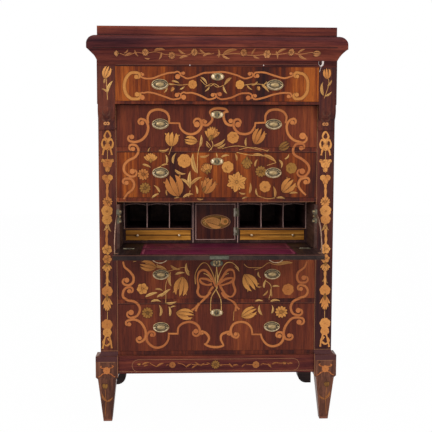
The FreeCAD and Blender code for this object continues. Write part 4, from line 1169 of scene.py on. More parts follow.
garland_ribbons = [[(70, 1000), (60, 1020), (76, 1034), (92, 1020), (82, 1000)], [(80, 92), (66, 74),
    (80, 50), (94, 74), (80, 92)], [(80, 100), (64, 88), (55, 106), (62, 128), (78, 110)], [(80, 100),
    (96, 88), (105, 106), (98, 128), (82, 110)], [(78, 110), (64, 134), (58, 160)], [(82, 110), (94, 134),
    (100, 160)], [(78, 972), (66, 1010), (58, 1048)], [(82, 972), (94, 1010), (100, 1046)]]
garland_trumpet_width = 0.0095
garland_ribbon_width = 0.007
garland_end = (80, 1058)

# The corner blocks beside the top drawer, and the consoles under them
corner_flowers = [("tulip", 88, 93, 104, 62, 68), ("tulip", 926, 104, 84, 62, 95)]
corner_leaves = [[(95, 250, 50, 218, -0.14), (95, 250, 136, 158, 0.12), (70, 180, 84, 130, 0.1)],
    [(900, 272, 894, 168, 0.12), (905, 272, 962, 238, -0.14), (926, 200, 962, 150, -0.1)]]
corner_stems = [[(84, 118), (88, 200), (95, 300)], [(928, 122), (940, 180), (905, 290)]]
console_buds = [(UPPER_LEFT, 86, 481), (UPPER_RIGHT, 917, 486)]
console_bud_reach = 0.0068
console_leaves = ((-28, -60, 0.3), (26, -64, -0.3), (-20, -104, 0.3), (24, -100, -0.3))
console_leaf_drop = 44
console_discs = ((11, 1.15, "line", 1), (11, 1, "soft", 2), (6.6, 0.3, "line", 3))

# The cove, the base and the leg blocks
cove_flowers = {
    COVE_LEFT: [("carnation", 345, 300, 60, 58, left), ("daisy", 650, 290, 36),
        ("daisy", 930, 320, 38), ("daisy", 1170, 290, 36)],
    COVE_RIGHT: [("daisy", 305, 285, 36), ("pansy", 548, 300, 40), ("daisy", 795, 282, 34),
        ("tulip", 1060, 295, 84, 52, left)],
}
cove_leaves = {
    COVE_LEFT: [(430, 330, 512, 298, 0.12), (540, 262, 576, 330, -0.14), (740, 276, 862, 268, 0.1),
        (820, 284, 792, 362, 0.12), (1000, 258, 1078, 306, -0.12), (1010, 352, 1102, 330, 0.1),
        (1225, 258, 1292, 302, -0.1), (1260, 332, 1346, 300, 0.1), (470, 262, 420, 300, 0.1),
        (700, 350, 640, 345, 0.1)],
    COVE_RIGHT: [(40, 252, 46, 334, 0.14), (80, 302, 166, 342, -0.1), (90, 300, 236, 258, 0.08),
        (388, 312, 426, 248, 0.1), (400, 310, 472, 338, -0.1), (630, 268, 656, 348, 0.14),
        (650, 292, 742, 253, 0.1), (860, 296, 932, 253, 0.1), (870, 300, 962, 347, -0.1)],
}
cove_stems = {
    COVE_LEFT: [[(380, 300), (460, 320), (560, 290), (640, 300), (760, 285), (860, 310), (960, 315),
        (1080, 320), (1170, 295), (1300, 310), (1380, 300)]],
    COVE_RIGHT: [[(30, 310), (120, 300), (240, 295), (400, 312), (548, 300), (680, 300), (800, 285),
        (880, 300), (1000, 285), (1060, 295)]],
}
base_flowers = {
    LOWER_LEFT: [("rose", 655, 1016, 27), ("dull daisy", 1020, 1013, 38),
        ("bud", 372, 1010, 16, right)],
    LOWER_RIGHT: [("rose", 431, 1014, 30), ("bud", 672, 1000, 18, right)],
}
base_leaves = {
    LOWER_LEFT: [(397, 1016, 459, 997, 0.1), (409, 1032, 452, 1018, 0.1), (521, 1034, 583, 1001, 0.1),
        (769, 1040, 820, 1007, 0.1), (818, 1048, 862, 1020, 0.1), (843, 989, 893, 1014, -0.1),
        (893, 1028, 930, 1001, 0.1), (600, 1026, 628, 1010, 0.1), (940, 1000, 980, 1012, 0.1)],
    LOWER_RIGHT: [(204, 999, 242, 1036, -0.1), (235, 1022, 285, 1018, 0.1), (310, 1038, 350, 1005, 0.1),
        (533, 1001, 566, 1038, -0.1), (564, 1014, 620, 995, 0.1), (700, 1012, 740, 996, 0.1),
        (110, 1004, 150, 1024, -0.1), (470, 1024, 500, 1000, 0.1)],
}
base_stems = {
    LOWER_LEFT: [[(465, 1001), (500, 1022), (527, 1032)], [(700, 1000), (740, 1010), (769, 1030)],
        [(820, 1012), (900, 1016), (960, 1010)]],
    LOWER_RIGHT: [[(60, 1008), (130, 1014), (220, 1014)], [(350, 1010), (400, 1014)], [(490, 1006),
        (560, 1018)], [(610, 1000), (740, 1002)]],
}
base_panel = (-0.335, 0.33, 0.2045, 0.253)
base_bead_light = 1077
block_flowers = {
    LEG_BLOCK: [("rose", 229, 353, 50), ("dull tulip", 205, 575, 84, 78, up)],
}
block_leaves = {
    LEG_BLOCK: [(238, 790, 160, 672, 0.14), (214, 792, 308, 730, -0.14)],
}
block_stems = {
    LEG_BLOCK: [[(206, 616), (212, 720), (216, 800), (202, 1000)]],
}
block_arms = [[(215, 335), (190, 322), (160, 318), (140, 300), (160, 290)], [(245, 335), (270, 320),
    (300, 312), (322, 292), (300, 284)], [(215, 372), (200, 392), (170, 400), (146, 426), (116, 440)],
    [(245, 372), (262, 392), (290, 400), (316, 424), (346, 440)]]
block_arm_width = 0.0042
block_line = ((120, 237), (350, 237))
block_side = ((380, 150), (380, 500))
leg_edges = (((104, 525), (183, 1050)), ((362, 545), (303, 1050)))
plinth_sides = (70, 400)
plinth_rows = (56, 234)
plinth_pieces = 22
foot_wear = 0.009
foot_row = 1040
foot_sides = (188, 298)

# Painted shadow lines, pale lines of wear and painted highlight, pale spots and a chip, by the photograph's
# pixels
frieze_lines = ((65.4, 0.0028, "line"), (64.6, 0.0008, "worn"))
frieze_line_ends = (116, 317)
pale_spots = ((189.8, 65.2), (263.6, 65.4))
pale_spot_reach = 0.0022
chip_middle = (321.2, 62.4)
chip_tail = (319.6, 72.0)
chip_reach = 0.016
cove_shade_row = 47.6
cove_shade_ends = (92, 338)
shade_width = 0.0032
cove_steps = 60
crown_steps = 40
rail_light_row = 202
rail_light_ends = (118, 314)
rail_light_width = 0.0024
worn_highlight_width = 0.0009
gap_shade_width = 0.0022

# A run on a sheet, by which its scale at a flower is measured
ruler = 100


def draw_scrolls(ink, scrolls, y, width=scroll_width, kind="scroll"):
    for sheet, first, points, last in scrolls:
        ink.scroll(first and on_sheet(sheet, first, y), on_sheets(sheet, points, y),
                   last and on_sheet(sheet, last, y), width, kind)


def draw_sprays(ink, flowers, leaves, stems, y):
    """Stems, leaves and flowers of each sheet, seen on the upright plane at y."""
    for sheet, paths in stems.items():
        for path in paths:
            ink.stem(on_sheets(sheet, path, y))
    for sheet, rows in leaves.items():
        for x0, z0, x1, z1, bend in rows:
            ink.leaf(on_sheet(sheet, (x0, z0), y), on_sheet(sheet, (x1, z1), y), bend)
    for sheet, rows in flowers.items():
        for kind, x, z, *measures in rows:
            centre = on_sheet(sheet, (x, z), y)
            size = abs(on_sheet(sheet, (x + ruler, z), y)[0] - centre[0]) / ruler
            place_flower(ink, kind, centre, size, *measures)


def draw_ribbons(ink, ribbons, y, width=ribbon_width, kind="scroll"):
    for sheet, paths in ribbons.items():
        for path in paths:
            ink.ribbon(on_sheets(sheet, path, y), width, kind)


def draw_fall_design(target):
    ink = Inlay([target])

    def over(x, height):
        return (x, target.z[0] + height)

    for flip in (1, -1):
        ink.flip = flip
        for first, points, last in fall_scrolls:
            ink.scroll(first and over(*first), [over(*point) for point in points],
                       last and over(*last))
        for path in fall_stems:
            ink.stem([over(*point) for point in path])
        for x0, h0, x1, h1, bend in fall_leaves:
            ink.leaf(over(x0, h0), over(x1, h1), bend)
        for kind, x, height, *measures in fall_flowers:
            place_flower(ink, kind, over(x, height), 1, *measures)
    star(ink, over(*fall_star), fall_star_reach, "flower")


def draw_fronts():
    """One design runs over all the fronts under the top one and the rails between them."""
    walls, y = front_walls()
    ink = Inlay(walls)
    draw_scrolls(ink, upper_scrolls + lower_scrolls, y)
    draw_sprays(ink, upper_flowers, upper_leaves, upper_stems, y)
    draw_sprays(ink, lower_flowers, lower_leaves, lower_stems, y)
    draw_ribbons(ink, lower_cords, y, cord_width, "leaf")
    draw_ribbons(ink, lower_ribbons, y)
    for target in walls:
        if target.name == "fall":
            draw_fall_design(target)
    # A pale line along the bottom edge of the rail over the open fall: wear and a painted highlight on that
    # edge, in the stringing finish.
    ink.string([seen((u, rail_light_row), y) for u in rail_light_ends], rail_light_width)
    # Along the foot of each rail a pale line, worn and with a painted highlight on its edge. Along the top
    # of each front a dark line, painted shade in the gap under the part above.
    for target in walls:
        if target.name.startswith("rail"):
            Inlay([target]).rule(target.x, target.z[0] + worn_highlight_width, worn_highlight_width, "worn")
        elif target.name != "fall":
            Inlay([target]).rule(target.x, target.z[1] - gap_shade_width / 2, gap_shade_width, "line")


def draw_frieze():
    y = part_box("drawer_1_front")[0].y
    ink = Inlay([node_wall("drawer_1_front", "drawer_1")])
    draw_scrolls(ink, frieze_scrolls, y, frieze_scroll_width)
    draw_scrolls(ink, frieze_end_scrolls, y, end_scroll_width, "flower")
    draw_sprays(ink, frieze_flowers, frieze_leaves, frieze_stems, y)


def draw_pilasters():
    """The garland down each pilaster, with a string at its foot and its inner edge."""
    low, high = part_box("pilaster_left")
    y = low.y
    for side, flip, shade, span in (("left", 1, "flower", (low.x, high.x)),
                                    ("right", -1, "bright", (-high.x, -low.x))):
        target = node_wall("pilaster_" + side, "carcass", "pilaster_left", span)
        ink = Inlay([target], flip, scroll=shade, flower=shade)
        draw_sprays(ink, garland_flowers, garland_leaves, garland_stems, y)
        draw_ribbons(ink, {GARLAND: garland_trumpets}, y, garland_trumpet_width)
        draw_ribbons(ink, {GARLAND: garland_ribbons}, y, garland_ribbon_width)
        inner = high.x - string_width
        ink.rule((low.x + string_width, inner), on_sheet(GARLAND, garland_end, y)[1])
        ink.string([(inner, low.z), (inner, high.z)])


def draw_corners():
    """The blocks beside the top drawer, and the consoles under them."""
    low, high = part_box("frieze_corners")
    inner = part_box("pilaster_right")[0].x
    spans = ((-high.x, -inner), (inner, high.x))
    for index, sheet in enumerate((UPPER_LEFT, UPPER_RIGHT)):
        target = node_wall("corner_%d" % index, "carcass", "frieze_corners", spans[index])
        draw_sprays(Inlay([target], flower="bright"), {sheet: [corner_flowers[index]]},
                    {sheet: corner_leaves[index]}, {sheet: [corner_stems[index]]}, low.y)
    low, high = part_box("consoles")
    y = (low.y + high.y) / 2
    spans = ((low.x, -inner), (inner, high.x))
    for index, (sheet, u, v) in enumerate(console_buds):
        ink = Inlay([traced_wall("console_%d" % index, "carcass", "consoles", spans[index])])

        def at(a, b):
            return on_sheet(sheet, (u + a, v + b), y)

        for a, b, bend in console_leaves:
            ink.leaf(at(0, b + console_leaf_drop), at(a, b), bend, kind="faint")
        for side in (-1, 1):
            for shift, share, kind, step in console_discs:
                ink.disc(at(side * shift, 0), console_bud_reach * share, kind, step)


def draw_cornice():
    """The cove's design, painted shadow lines under its ovolo and along the crown's foot, and on the frieze
    a painted shadow line, a pale line of wear and painted highlight, pale spots and the chip. Bare numbers
    are shares of the chip's reach."""
    low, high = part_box("cornice")
    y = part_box("frieze_board")[0].y
    ink = Inlay([traced_wall("cove", "carcass", "cornice")], leaf="soft", flower="soft")
    draw_sprays(ink, cove_flowers, cove_leaves, cove_stems, (low.y + y) / 2)
    # Painted shadow lines: one along the foot of the ovolo, and one along the foot of the crown.
    ends = [seen((u, cove_shade_row), low.y) for u in cove_shade_ends]
    ink.string(divided(*ends, cove_steps), shade_width, "line")
    crown = node_wall("crown", "carcass")
    foot = crown.z[0] + shade_width / 2
    Inlay([crown]).string(divided((crown.x[0], foot), (crown.x[1], foot), crown_steps),
                          shade_width, "line")
    board = node_wall("frieze_board", "carcass")
    ink = Inlay([board])
    # The dark line is painted shadow in the gap over the top drawer; the thin pale line over it is wear and
    # a painted highlight on the board's edge.
    for row, width, kind in frieze_lines:
        ink.string([seen((u, row), y) for u in frieze_line_ends], width, kind)
    # Two small pale spots on the frieze board, in the chip's pale finish.
    for spot in pale_spots:
        ink.disc(seen(spot, y), pale_spot_reach, "chip", 3)
    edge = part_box("frieze_corners")[1].x
    ink = Inlay([board, node_wall("chip", "carcass", "frieze_corners", (0, edge))])
    ink.motif(0.1)
    middle = seen(chip_middle, y)
    ink.disc(middle, chip_reach, "chip", 1, 0.66, math.pi / 2)
    ink.disc(add(middle, (-chip_reach / 5, 0)), chip_reach * 0.8, "line", 2, 0.5, math.pi / 2)
    ink.line([add(middle, (0, -chip_reach)), seen(chip_tail, y)], vein_width * 2, "chip", 1)


half_turn_steps = 8


def rounded(x_low, x_high, z_low, z_high):
    """A closed outline with rounded ends."""
    reach = (z_high - z_low) / 2
    middle = (z_low + z_high) / 2
    path = []
    for x, start in ((x_high - reach, -math.pi / 2), (x_low + reach, math.pi / 2)):
        for index in range(half_turn_steps + 1):
            turn = start + math.pi * index / half_turn_steps
            path.append((x + reach * math.cos(turn), middle + reach * math.sin(turn)))
    return path + path[:1]


def draw_base():
    low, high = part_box("base_rail")
    ink = Inlay([traced_wall("base_rail", "carcass", "base_rail")], leaf="dim", flower="dim")
    ink.string(rounded(*base_panel))
    draw_sprays(ink, base_flowers, base_leaves, base_stems, low.y)
    ink.rule((low.x, high.x), on_sheet(LOWER_LEFT, (0, base_bead_light), low.y)[1])


def draw_legs():
    """The block and the taper of each front leg, and the worn end of its foot."""
    first, last = plinth_sides
    edges = [first + (last - first) * index / plinth_pieces for index in range(plinth_pieces + 1)]
    for side, flip in (("left", 1), ("right", -1)):
        name = "front_leg_" + side
        low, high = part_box(name)
        ink = Inlay([traced_wall(name, "carcass", name, strict=True)], flip,
                    leaf="dim", flower="scroll")
        ink.motif(0.4)
        # A dark sheet over the block's top: its own dark purple, and painted shade over the chamfer.
        for span in zip(edges, edges[1:]):
            ink.piece(on_sheets(LEG_BLOCK, rectangle(span, plinth_rows), low.y), "plinth")
        draw_ribbons(ink, {LEG_BLOCK: block_arms}, low.y, block_arm_width)
        draw_sprays(ink, block_flowers, block_leaves, block_stems, low.y)
        ink.motif(0.2)
        sides = [on_sheet(LEG_BLOCK, (x, foot_row), low.y)[0] for x in foot_sides]
        ink.piece(rectangle(sides, (low.z, low.z + foot_wear)), "worn")
        for path in (block_line, block_side) + leg_edges:
            ink.string(divided(*on_sheets(LEG_BLOCK, path, low.y)))


# Inside the writing drawer

divider_middles = (0.1885, 0.28)
divider_edge_width = 0.0026
pigeonhole_ends = ((0.1, 0.1855), (0.1915, 0.277), (0.283, 0.3685))
valance_height = 0.0082
valance_rise = 0.005
valance_steps = 14
slot_plate_x = (0.3655, 0.3885)
slot_plate_z = (0.7978, 0.8538)
slot_edge = 0.3832
cupboard_wall_middle = 0.092
outer_wall_middle = 0.373
shelf_edge = 0.7578
top_edge = 0.8668
border_width = 0.002
door_border = 0.0035
door_oval = (0.061, 0.030)
door_oval_shift = 0.001
door_oval_sides = 40
shell_waist_width = 0.0024
shell_lip_width = 0.0028
drawer_border = 0.001
drawer_split_width = 0.0036
tooling_insets = (0.007, 0.0105)
tooling_edge = 0.002
edge_plate_half = 0.035


def draw_dividers():
    """The pale edges of the pigeonholes' dividers, valances, walls and shelves."""
    low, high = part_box("pigeonhole_dividers")
    ink = Inlay([traced_wall("divider_edges", "secretaire", "pigeonhole_dividers")])
    for x in divider_middles:
        for flip in (1, -1):
            ink.string(divided((flip * x, low.z), (flip * x, high.z)), divider_edge_width,
                       "pale_edge")
    foot = high.z - valance_height
    for x_low, x_high in pigeonhole_ends:
        for flip in (1, -1):
            rise = flip * valance_rise / (x_high - x_low)
            ink.string(arch((flip * x_low, foot), (flip * x_high, foot), rise,
                            valance_steps), string_width, "pale_edge")
    case = node_wall("case_edges", "secretaire", "pigeonhole_case")
    ink = Inlay([case])
    for flip in (1, -1):
        inner, outer = flip * cupboard_wall_middle, flip * outer_wall_middle
        for x, foot in ((inner, case.z[0]), (outer, shelf_edge)):
            ink.string([(x, foot), (x, top_edge)], divider_edge_width, "pale_edge")
        ink.rule((inner, outer), shelf_edge, divider_edge_width)
    ink.rule(case.x, top_edge, divider_edge_width, "worn")


def draw_door():
    """A string round the edge and an oval shell. Bare numbers are shares of the oval."""
    target = node_wall("cupboard_door", "cupboard_door")
    ink = Inlay([target])
    ink.border(target.x, target.z, door_border, border_width, "pale_edge")
    middle = (sum(target.x) / 2 + door_oval_shift, sum(target.z) / 2)
    wide, tall = door_oval
    at = local(middle, 0, wide, tall)
    ink.motif(0.2)
    for share, squash, kind, step, burn in ((1, 1, "string", 1, 0), (0.94, 0.97, "line", 2, 0),
                                            (0.91, 0.95, "dull", 3, 0.2)):
        ink.disc(middle, wide * share, kind, step, tall / wide * squash, sides=door_oval_sides,
                 burn=burn)
    ink.petal(at(-0.72, 0.16), at(0.44, -0.08), tall * 1.2, 0.0, "bright", 4, 0.5, 0.1)
    ink.petal(at(-0.56, -0.1), at(0.42, -0.7), tall * 0.6, -0.12, "bright", 6, 0.5, 0.1)
    ink.disc(at(0.6, 0.06), tall * 0.62, "line", 8, 0.85)
    ink.disc(at(0.6, 0.06), tall * 0.57, "bright", 9, 0.85, burn=0.05)
    ink.disc(at(0.66, 0.04), tall * 0.26, "dull", 10, 0.9)
    for rib in range(-3, 4):
        ink.line([at(-0.62, 0.05 * rib + 0.1), at(0.3, 0.2 * rib)], vein_width, "line", 10)
    ink.line([at(0.26, 0.6), at(0.36, 0.25), at(0.26, -0.3)], shell_waist_width, "line", 11)
    ink.line([at(0.42, 0.55), at(0.36, 0.1), at(0.3, -0.25)], shell_lip_width, "leaf", 11)
    for a, b in ((-0.86, 0.14), (-0.8, -0.12), (-0.76, 0.3), (-0.72, -0.02), (-0.7, -0.28)):
        ink.disc(at(a, b), tall * 0.08, "leaf", 8)


def draw_small_drawers():
    for name in ("small_drawer_left", "small_drawer_right"):
        target = node_wall(name, name)
        ink = Inlay([target])
        ink.rule(target.x, sum(target.z) / 2, drawer_split_width, "line")
        ink.border(target.x, target.z, drawer_border, border_width, "line")


def draw_tooling():
    """Two lines pressed into the leather, inside its border."""
    for name, body in (("bed_leather", "secretaire"), ("fall_leather", "fall")):
        low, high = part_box(name)
        target = Wall(name, body, (low.x, high.x), (low.y, high.y),
                      lambda x, y, lift, top=high.z: (x, y, top + lift))
        ink = Inlay([target])
        for inset in tooling_insets:
            ink.border(target.x, target.z, inset, string_width, "tooling")
        if body == "fall":
            ink.rule(target.x, high.y - tooling_edge, tooling_edge, "tooling")


def draw_fall_edge():
    """The worn corner of the fall and the dull face of the plate in its edge."""
    low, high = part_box("fall")
    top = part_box("fall_leather")[1].z
    ink = Inlay([flat_wall("fall_edge", "fall", low.y, (low.x, high.x), (low.z, top))])
    inset = (top - low.z) / 6
    half = edge_plate_half
    ink.piece(rectangle((-half, half), (low.z + inset, top - inset)), "dim_brass")
    for span in ((low.x, -half), (half, high.x)):
        ink.rule(span, top - worn_highlight_width, worn_highlight_width, "worn")


def draw_slot_plates():
    """Pierced brass scrolls on the edges of the drawer's sides, beside the slots. Bare
    numbers are shares of a scroll's reach."""
    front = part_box("secretaire_box")[0].y
    x_low, x_high = slot_plate_x
    z_low, z_high = slot_plate_z
    middle = (z_low + z_high) / 2
    reach = (slot_edge - x_low) / 2
    curl = [(x_low + reach * 1.6, z_low + reach), (x_low + reach, z_low + reach * 0.6),
            (x_low + reach * 0.5, z_low + reach), (x_low + reach * 0.8, z_low + reach * 1.8),
            (x_low + reach * 1.5, middle - reach * 0.6), (x_low + reach, middle)]
    for side, flip, span in (("left", -1, (-x_high, -x_low)), ("right", 1, (x_low, x_high))):
        target = flat_wall("slot_plate_" + side, "secretaire", front, span, (z_low, z_high))
        ink = Inlay([target], flip)
        ink.motif(0.3)
        for path in (curl, [(x, z_low + z_high - z) for x, z in curl]):
            path = smooth(path)
            ink.band(path, [reach * 0.34] * len(path), "steel", 1)
        for z in (z_low + reach, middle, z_high - reach):
            ink.disc((x_low + reach * 1.1, z), reach * 0.36, "brass", 2)
            ink.disc((x_low + reach * 1.1, z), reach * 0.16, "grime", 3)
        for z in (z_low + reach * 0.4, z_high - reach * 0.4):
            ink.disc((x_high - reach * 0.5, z), reach * 0.3, "steel", 2)


for draw in (draw_fronts, draw_frieze, draw_pilasters, draw_corners, draw_cornice, draw_base,
             draw_legs, draw_dividers, draw_door, draw_small_drawers, draw_tooling,
             draw_fall_edge, draw_slot_plates):
    draw()
for target in all_walls:
    target.make_mesh()


# Brass worked finer than the solids carry it

plate_half = (0.032, 0.0205)
boss_half = (0.0172, 0.0092)
escutcheon_half = (0.025, 0.014)
ring_half = (0.0107, 0.0107)
lobe_half = (0.0042, 0.0078)
lobe_place = 0.017
knob_half = (0.005, 0.005)
oval_steps = 56
knob_steps = 24
wire_sides = 10
pivot_over_plate = 0.0015
wire_reach = 0.0015
wire_end_reach = 0.0012
pin_reach = 0.001
bail_half = 0.0282
bail_drop = 0.018
bail_turn_radius = 0.012
bail_pin_end = 0.0206
bail_corner = 0.0011
bail_turn_steps = 6
bail_foot_steps = 12
keyhole_drop = 0.037
low_keyhole_drop = 0.017
moon_reach = 0.0081
moon_edge = 0.0031
moon_height = 0.00146
moon_steps = 12
bead_count = 46
bead_steps = 7
bead_reach = 0.0009
bead_inset = 0.0012
bead_base = 0.0016
bead_top = 0.0022
flute_count = 18


def rows_of(*groups):
    """The rows of an oval, in groups of one finish each. A row is how far in from the edge
    it lies, how far off the front, and how deep its flutes are if it has any."""
    return [(row[0], row[1], kind, row[2] if len(row) > 2 else 0)
            for kind, *rows in groups for row in rows]


plate_rows = rows_of(
    ("brass", (-0.0003, 0.0), (-0.0003, 0.0011), (0.0004, 0.0016), (0.0014, 0.0018)),
    ("grime", (0.0022, 0.0017), (0.0026, 0.0015)),
    ("brass", (0.0072, 0.0015), (0.0076, 0.0017)), ("grime", (0.0086, 0.0017), (0.009, 0.0015)))
boss_rows = rows_of(
    ("brass", (0.0, 0.0014), (0.0, 0.0023), (0.0009, 0.0029)),
    ("grime", (0.0017, 0.00278), (0.0022, 0.0027)),
    ("brass", (0.0032, 0.0031, 0.00012), (0.0052, 0.0035, 0.0002), (0.0074, 0.0037, 0.0001)))
escutcheon_rows = rows_of(
    ("brass", (-0.0003, 0.0), (-0.0003, 0.0011), (0.0006, 0.0016), (0.0016, 0.0018)),
    ("grime", (0.0022, 0.0016), (0.0026, 0.00146), (0.0034, 0.00142)))
ring_rows = rows_of(
    ("grime", (0.0, 0.0013), (0.0, 0.0022)),
    ("dim_brass", (0.0006, 0.0027), (0.0014, 0.0028), (0.0022, 0.0027)),
    ("grime", (0.0028, 0.0022), (0.0028, 0.0013)))
lobe_rows = rows_of(
    ("pale_brass", (0.0, 0.0014), (0.0006, 0.0021), (0.0016, 0.0026), (0.003, 0.0029)))
knob_rows = rows_of(
    ("pale_brass", (0.0008, 0.0), (0.0008, 0.0012), (0.0028, 0.0024), (0.0028, 0.004),
     (0.0005, 0.0066), (0.0, 0.0078), (0.0006, 0.009), (0.0018, 0.0098), (0.0034, 0.01)))
bead_rows = rows_of(
    ("brass", (0.0, bead_base), (bead_reach * 0.3, bead_top * 0.92), (bead_reach * 0.75, bead_top)))


class Metalwork:
    """Corners, faces and finishes of a brass piece that faces the front."""

    def __init__(self):
        self.corners, self.faces, self.kinds = [], [], []

    def face(self, corners, kind):
        self.faces.append(tuple(corners))
        self.kinds.append(kind)

    def oval(self, half, rows, closed=True, middle=(0, 0), steps=oval_steps):
        first = len(self.corners)
        for inset, height, kind, flute in rows:
            for index in range(steps):
                x, z = turned(index, steps)
                off = height + flute * math.cos(flute_count * (2 * math.pi * index / steps))
                self.corners.append((middle[0] + (half[0] - inset) * x, -off,
                                     middle[1] + (half[1] - inset) * z))
        for row, (inset, height, kind, flute) in enumerate(rows[:-1]):
            start = first + row * steps
            for index in range(steps):
                a, b = start + index, start + (index + 1) % steps
                self.face((a, b, b + steps, a + steps), kind)
        if closed:
            last = first + (len(rows) - 1) * steps
            self.face(range(last, last + steps), rows[-1][2])

    def beads(self, half):
        for index in range(bead_count):
            x, z = turned(index, bead_count)
            self.oval((bead_reach, bead_reach), bead_rows, True,
                      ((half[0] - bead_inset) * x, (half[1] - bead_inset) * z), bead_steps)

    def moon(self, side):
        """Half of the dark ground round the keyhole: patina, and painted shade in the hollow inside the
        ring.
        """
        sweep = math.acos(moon_edge / moon_reach)
        first = len(self.corners)
        for index in range(moon_steps + 1):
            turn = sweep * (2 * index / moon_steps - 1)
            self.corners.append((side * moon_reach * math.cos(turn), -moon_height,
                                 side * moon_reach * math.sin(turn)))
        self.face(range(first, first + moon_steps + 1), "grime")

    def tube(self, path, reaches, kind):
        """A round wire along a path in the plane of the front."""
        first = len(self.corners)
        for (x, z), (aside, along), reach in zip(path, across(path), reaches):
            for side in range(wire_sides):
                a, b = turned(side, wire_sides)
                self.corners.append((x + aside * (reach * a), reach * b, z + along * (reach * a)))
        last = first + (len(path) - 1) * wire_sides
        for start in range(first, last, wire_sides):
            for side in range(wire_sides):
                a, b = start + side, start + (side + 1) % wire_sides
                self.face((a, a + wire_sides, b + wire_sides, b), kind)
        self.face(range(first, first + wire_sides), kind)
        self.face(range(last, last + wire_sides)[::-1], kind)

    def mesh(self, name):
        made = coloured_mesh(name, self.corners, self.faces, self.kinds)
        made.polygons.foreach_set("use_smooth", [True] * len(self.faces))
        return made


def set_piece(name, mesh, body, place, laid=False):
    """Puts a brass piece on a front, or under the open fall when it is laid."""
    made = add_object(name, mesh)
    made.location = place
    if laid:
        made.rotation_euler = (math.radians(90), 0, 0)
    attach(made, body)
    return made


def bail_path():
    """In through the left eye, down, along the bottom, up, and out through the right eye."""
    reach = bail_half - bail_turn_radius
    slack = bail_drop - bail_turn_radius
    lift = (reach ** 2 - slack ** 2) / (2 * slack)
    tilt = math.atan2(lift, reach)
    wide = bail_drop + lift
    half = [(-bail_pin_end, 0), (-bail_half + bail_corner, 0), (-bail_half, -bail_corner)]
    for index in range(1, bail_turn_steps + 1):
        turn = tilt * index / bail_turn_steps
        half.append((-reach - bail_turn_radius * math.cos(turn),
                     -bail_turn_radius * math.sin(turn)))
    for index in range(1, bail_foot_steps):
        turn = tilt + (math.pi / 2 - tilt) * index / bail_foot_steps
        half.append((-wide * math.cos(turn), lift - wide * math.sin(turn)))
    return half + [(0, -bail_drop)] + [(-x, z) for x, z in half[::-1]]


def make_plate():
    plate = Metalwork()
    plate.oval(plate_half, plate_rows)
    plate.oval(boss_half, boss_rows)
    plate.beads(plate_half)
    return plate.mesh("oval_plate")


def make_guard():
    guard = Metalwork()
    guard.oval(escutcheon_half, escutcheon_rows, False)
    guard.oval(ring_half, ring_rows, False)
    for side in (1, -1):
        guard.oval(lobe_half, lobe_rows, True, (side * lobe_place, 0))
        guard.moon(side)
    return guard.mesh("keyhole_plate")


def make_wire():
    path = bail_path()
    count = len(path) - 1
    reaches = [wire_end_reach + (wire_reach - wire_end_reach) * math.sin(math.pi * i / count)
               for i in range(count + 1)]
    reaches[0] = reaches[-1] = pin_reach
    wire = Metalwork()
    wire.tube(path, reaches, "pale_brass")
    return wire.mesh("bail_wire")


def make_handles(body, plate, wire, front=None):
    """Both handles of a front. Those of the fall lie under it."""
    for side in ("left", "right"):
        bail = "%s_bail_%s" % (body, side)
        low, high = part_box(bail)
        x, y, z = (low.x + high.x) / 2, (low.y + high.y) / 2, high.z - wire_reach
        place = (x, front, z - pivot_over_plate)
        if front is None:
            place = (x, y + pivot_over_plate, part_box("fall")[0].z)
        set_piece("%s_plate_%s" % (body, side), plate, body, place, front is None)
        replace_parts(set_piece(bail + "_wire", wire, bail, (x, y, z)), bail)


def make_knobs():
    for side in ("left", "right"):
        name = "small_drawer_knobs_" + side
        low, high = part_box(name)
        pair = Metalwork()
        for x in (low.x + knob_half[0], high.x - knob_half[0]):
            pair.oval(knob_half, knob_rows, True, (x, (low.z + high.z) / 2), knob_steps)
        made = set_piece(name + "_turned", pair.mesh("knobs_" + side), "small_drawer_" + side,
                         (0, high.y, 0))
        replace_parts(made, name)


def make_brass():
    plate, guard, wire = make_plate(), make_guard(), make_wire()
    # Drawer 5's keyhole plate lies in the open fall's shadow: its brass turns to dim brass, as painted
    # shade.
    shaded = guard.copy()
    for index, finish in enumerate(shaded.materials):
        if finish in (materials["brass"], materials["pale_brass"]):
            shaded.materials[index] = materials["dim_brass"]
    for number in ordinary_drawers:
        body = "drawer_%d" % number
        low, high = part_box(body + "_front")
        shape, drop = (shaded, low_keyhole_drop) if number == 5 else (guard, keyhole_drop)
        set_piece(body + "_keyhole_plate", shape, body, (0, low.y, high.z - drop))
        make_handles(body, plate, wire, low.y)
    low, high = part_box("fall")
    set_piece("fall_keyhole_plate", guard, "fall", (0, low.y + keyhole_drop, low.z), True)
    make_handles("fall", plate, wire)
    make_knobs()


make_brass()


# Camera, light and floor

world_strength = 0.6
floor_white_share = 0.985
floor_half = 9.0
lit_middle = (0.0, -0.1, 0.8)

# Each softbox: its place, its width and height, and its power
softboxes = {"softbox_left": ((-2.6, -3.6, 2.9), (2.2, 2.2), 75),
             "softbox_right": ((3.0, -3.4, 2.2), (2.0, 2.4), 50),
             "softbox_over": ((0.0, -0.6, 4.0), (2.6, 1.8), 30)}


def set_turned(name, data, place, rotation):
    made = add_object(name, data)
    made.location = place
    made.rotation_mode = "QUATERNION"
    made.rotation_quaternion = rotation
    return made


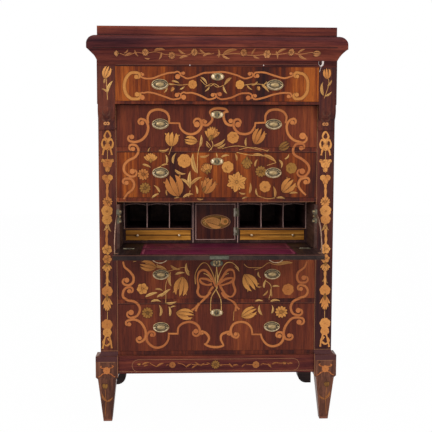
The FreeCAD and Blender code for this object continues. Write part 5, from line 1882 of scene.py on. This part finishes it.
def make_camera():
    data = bpy.data.cameras.new("camera")
    data.lens = camera_lens
    data.sensor_width = sensor_width
    rows = [[camera_right[i], camera_up[i], -camera_forwards[i]] for i in range(3)]
    bpy.context.scene.camera = set_turned("camera", data, camera_place,
                                          Matrix(rows).to_quaternion())


def make_lights():
    for name, (place, size, power) in softboxes.items():
        data = bpy.data.lights.new(name, "AREA")
        data.shape = "RECTANGLE"
        data.size, data.size_y = size
        data.energy = power
        ray = Vector(lit_middle) - Vector(place)
        set_turned(name, data, place, ray.to_track_quat("-Z", "Y"))


def shown_ray(tree):
    """One where the camera, a glossy face or glass looks straight at the surroundings."""
    path = node(tree, "ShaderNodeLightPath").outputs
    return maths(tree, "MAXIMUM", path["Is Camera Ray"],
                 maths(tree, "MAXIMUM", path["Is Glossy Ray"], path["Is Transmission Ray"]))


def make_world():
    world = bpy.data.worlds.new("studio")
    bpy.context.scene.world = world
    world.use_nodes = True
    tree = world.node_tree
    tree.nodes.clear()
    strength = spread(tree, shown_ray(tree), 0.0, 1.0, world_strength, 1.0)
    back = node(tree, "ShaderNodeBackground", {"Color": (1, 1, 1, 1), "Strength": strength})
    node(tree, "ShaderNodeOutputWorld", {"Surface": back.outputs[0]})


def make_floor():
    """A white floor that still shows the desk's shadow."""
    material, tree = start_material("pale_floor")
    mottle = noise(tree, coordinates(tree), mottle_scale, 3.0)
    colour = mixed(tree, mottle, tint(250, 250, 250), tint(255, 255, 255))
    surface = node(tree, "ShaderNodeBsdfPrincipled", {"Base Color": colour, "Roughness": 0.9,
                                                      "Specular IOR Level": 0.0})
    glow = node(tree, "ShaderNodeEmission", {"Color": (1, 1, 1, 1), "Strength": 1.0})
    share = maths(tree, "MULTIPLY", shown_ray(tree), floor_white_share)
    both = node(tree, "ShaderNodeMixShader", {0: share, 1: surface.outputs[0],
                                              2: glow.outputs[0]})
    node(tree, "ShaderNodeOutputMaterial", {"Surface": both.outputs[0]})
    mesh = bpy.data.meshes.new("floor")
    span = (-floor_half, floor_half)
    mesh.from_pydata([corner + (0,) for corner in rectangle(span, span)], [], [(0, 1, 2, 3)])
    mesh.materials.append(material)
    add_object("floor", mesh)


make_camera()
make_lights()
make_world()
make_floor()
bpy.context.scene.view_settings.view_transform = "Standard"
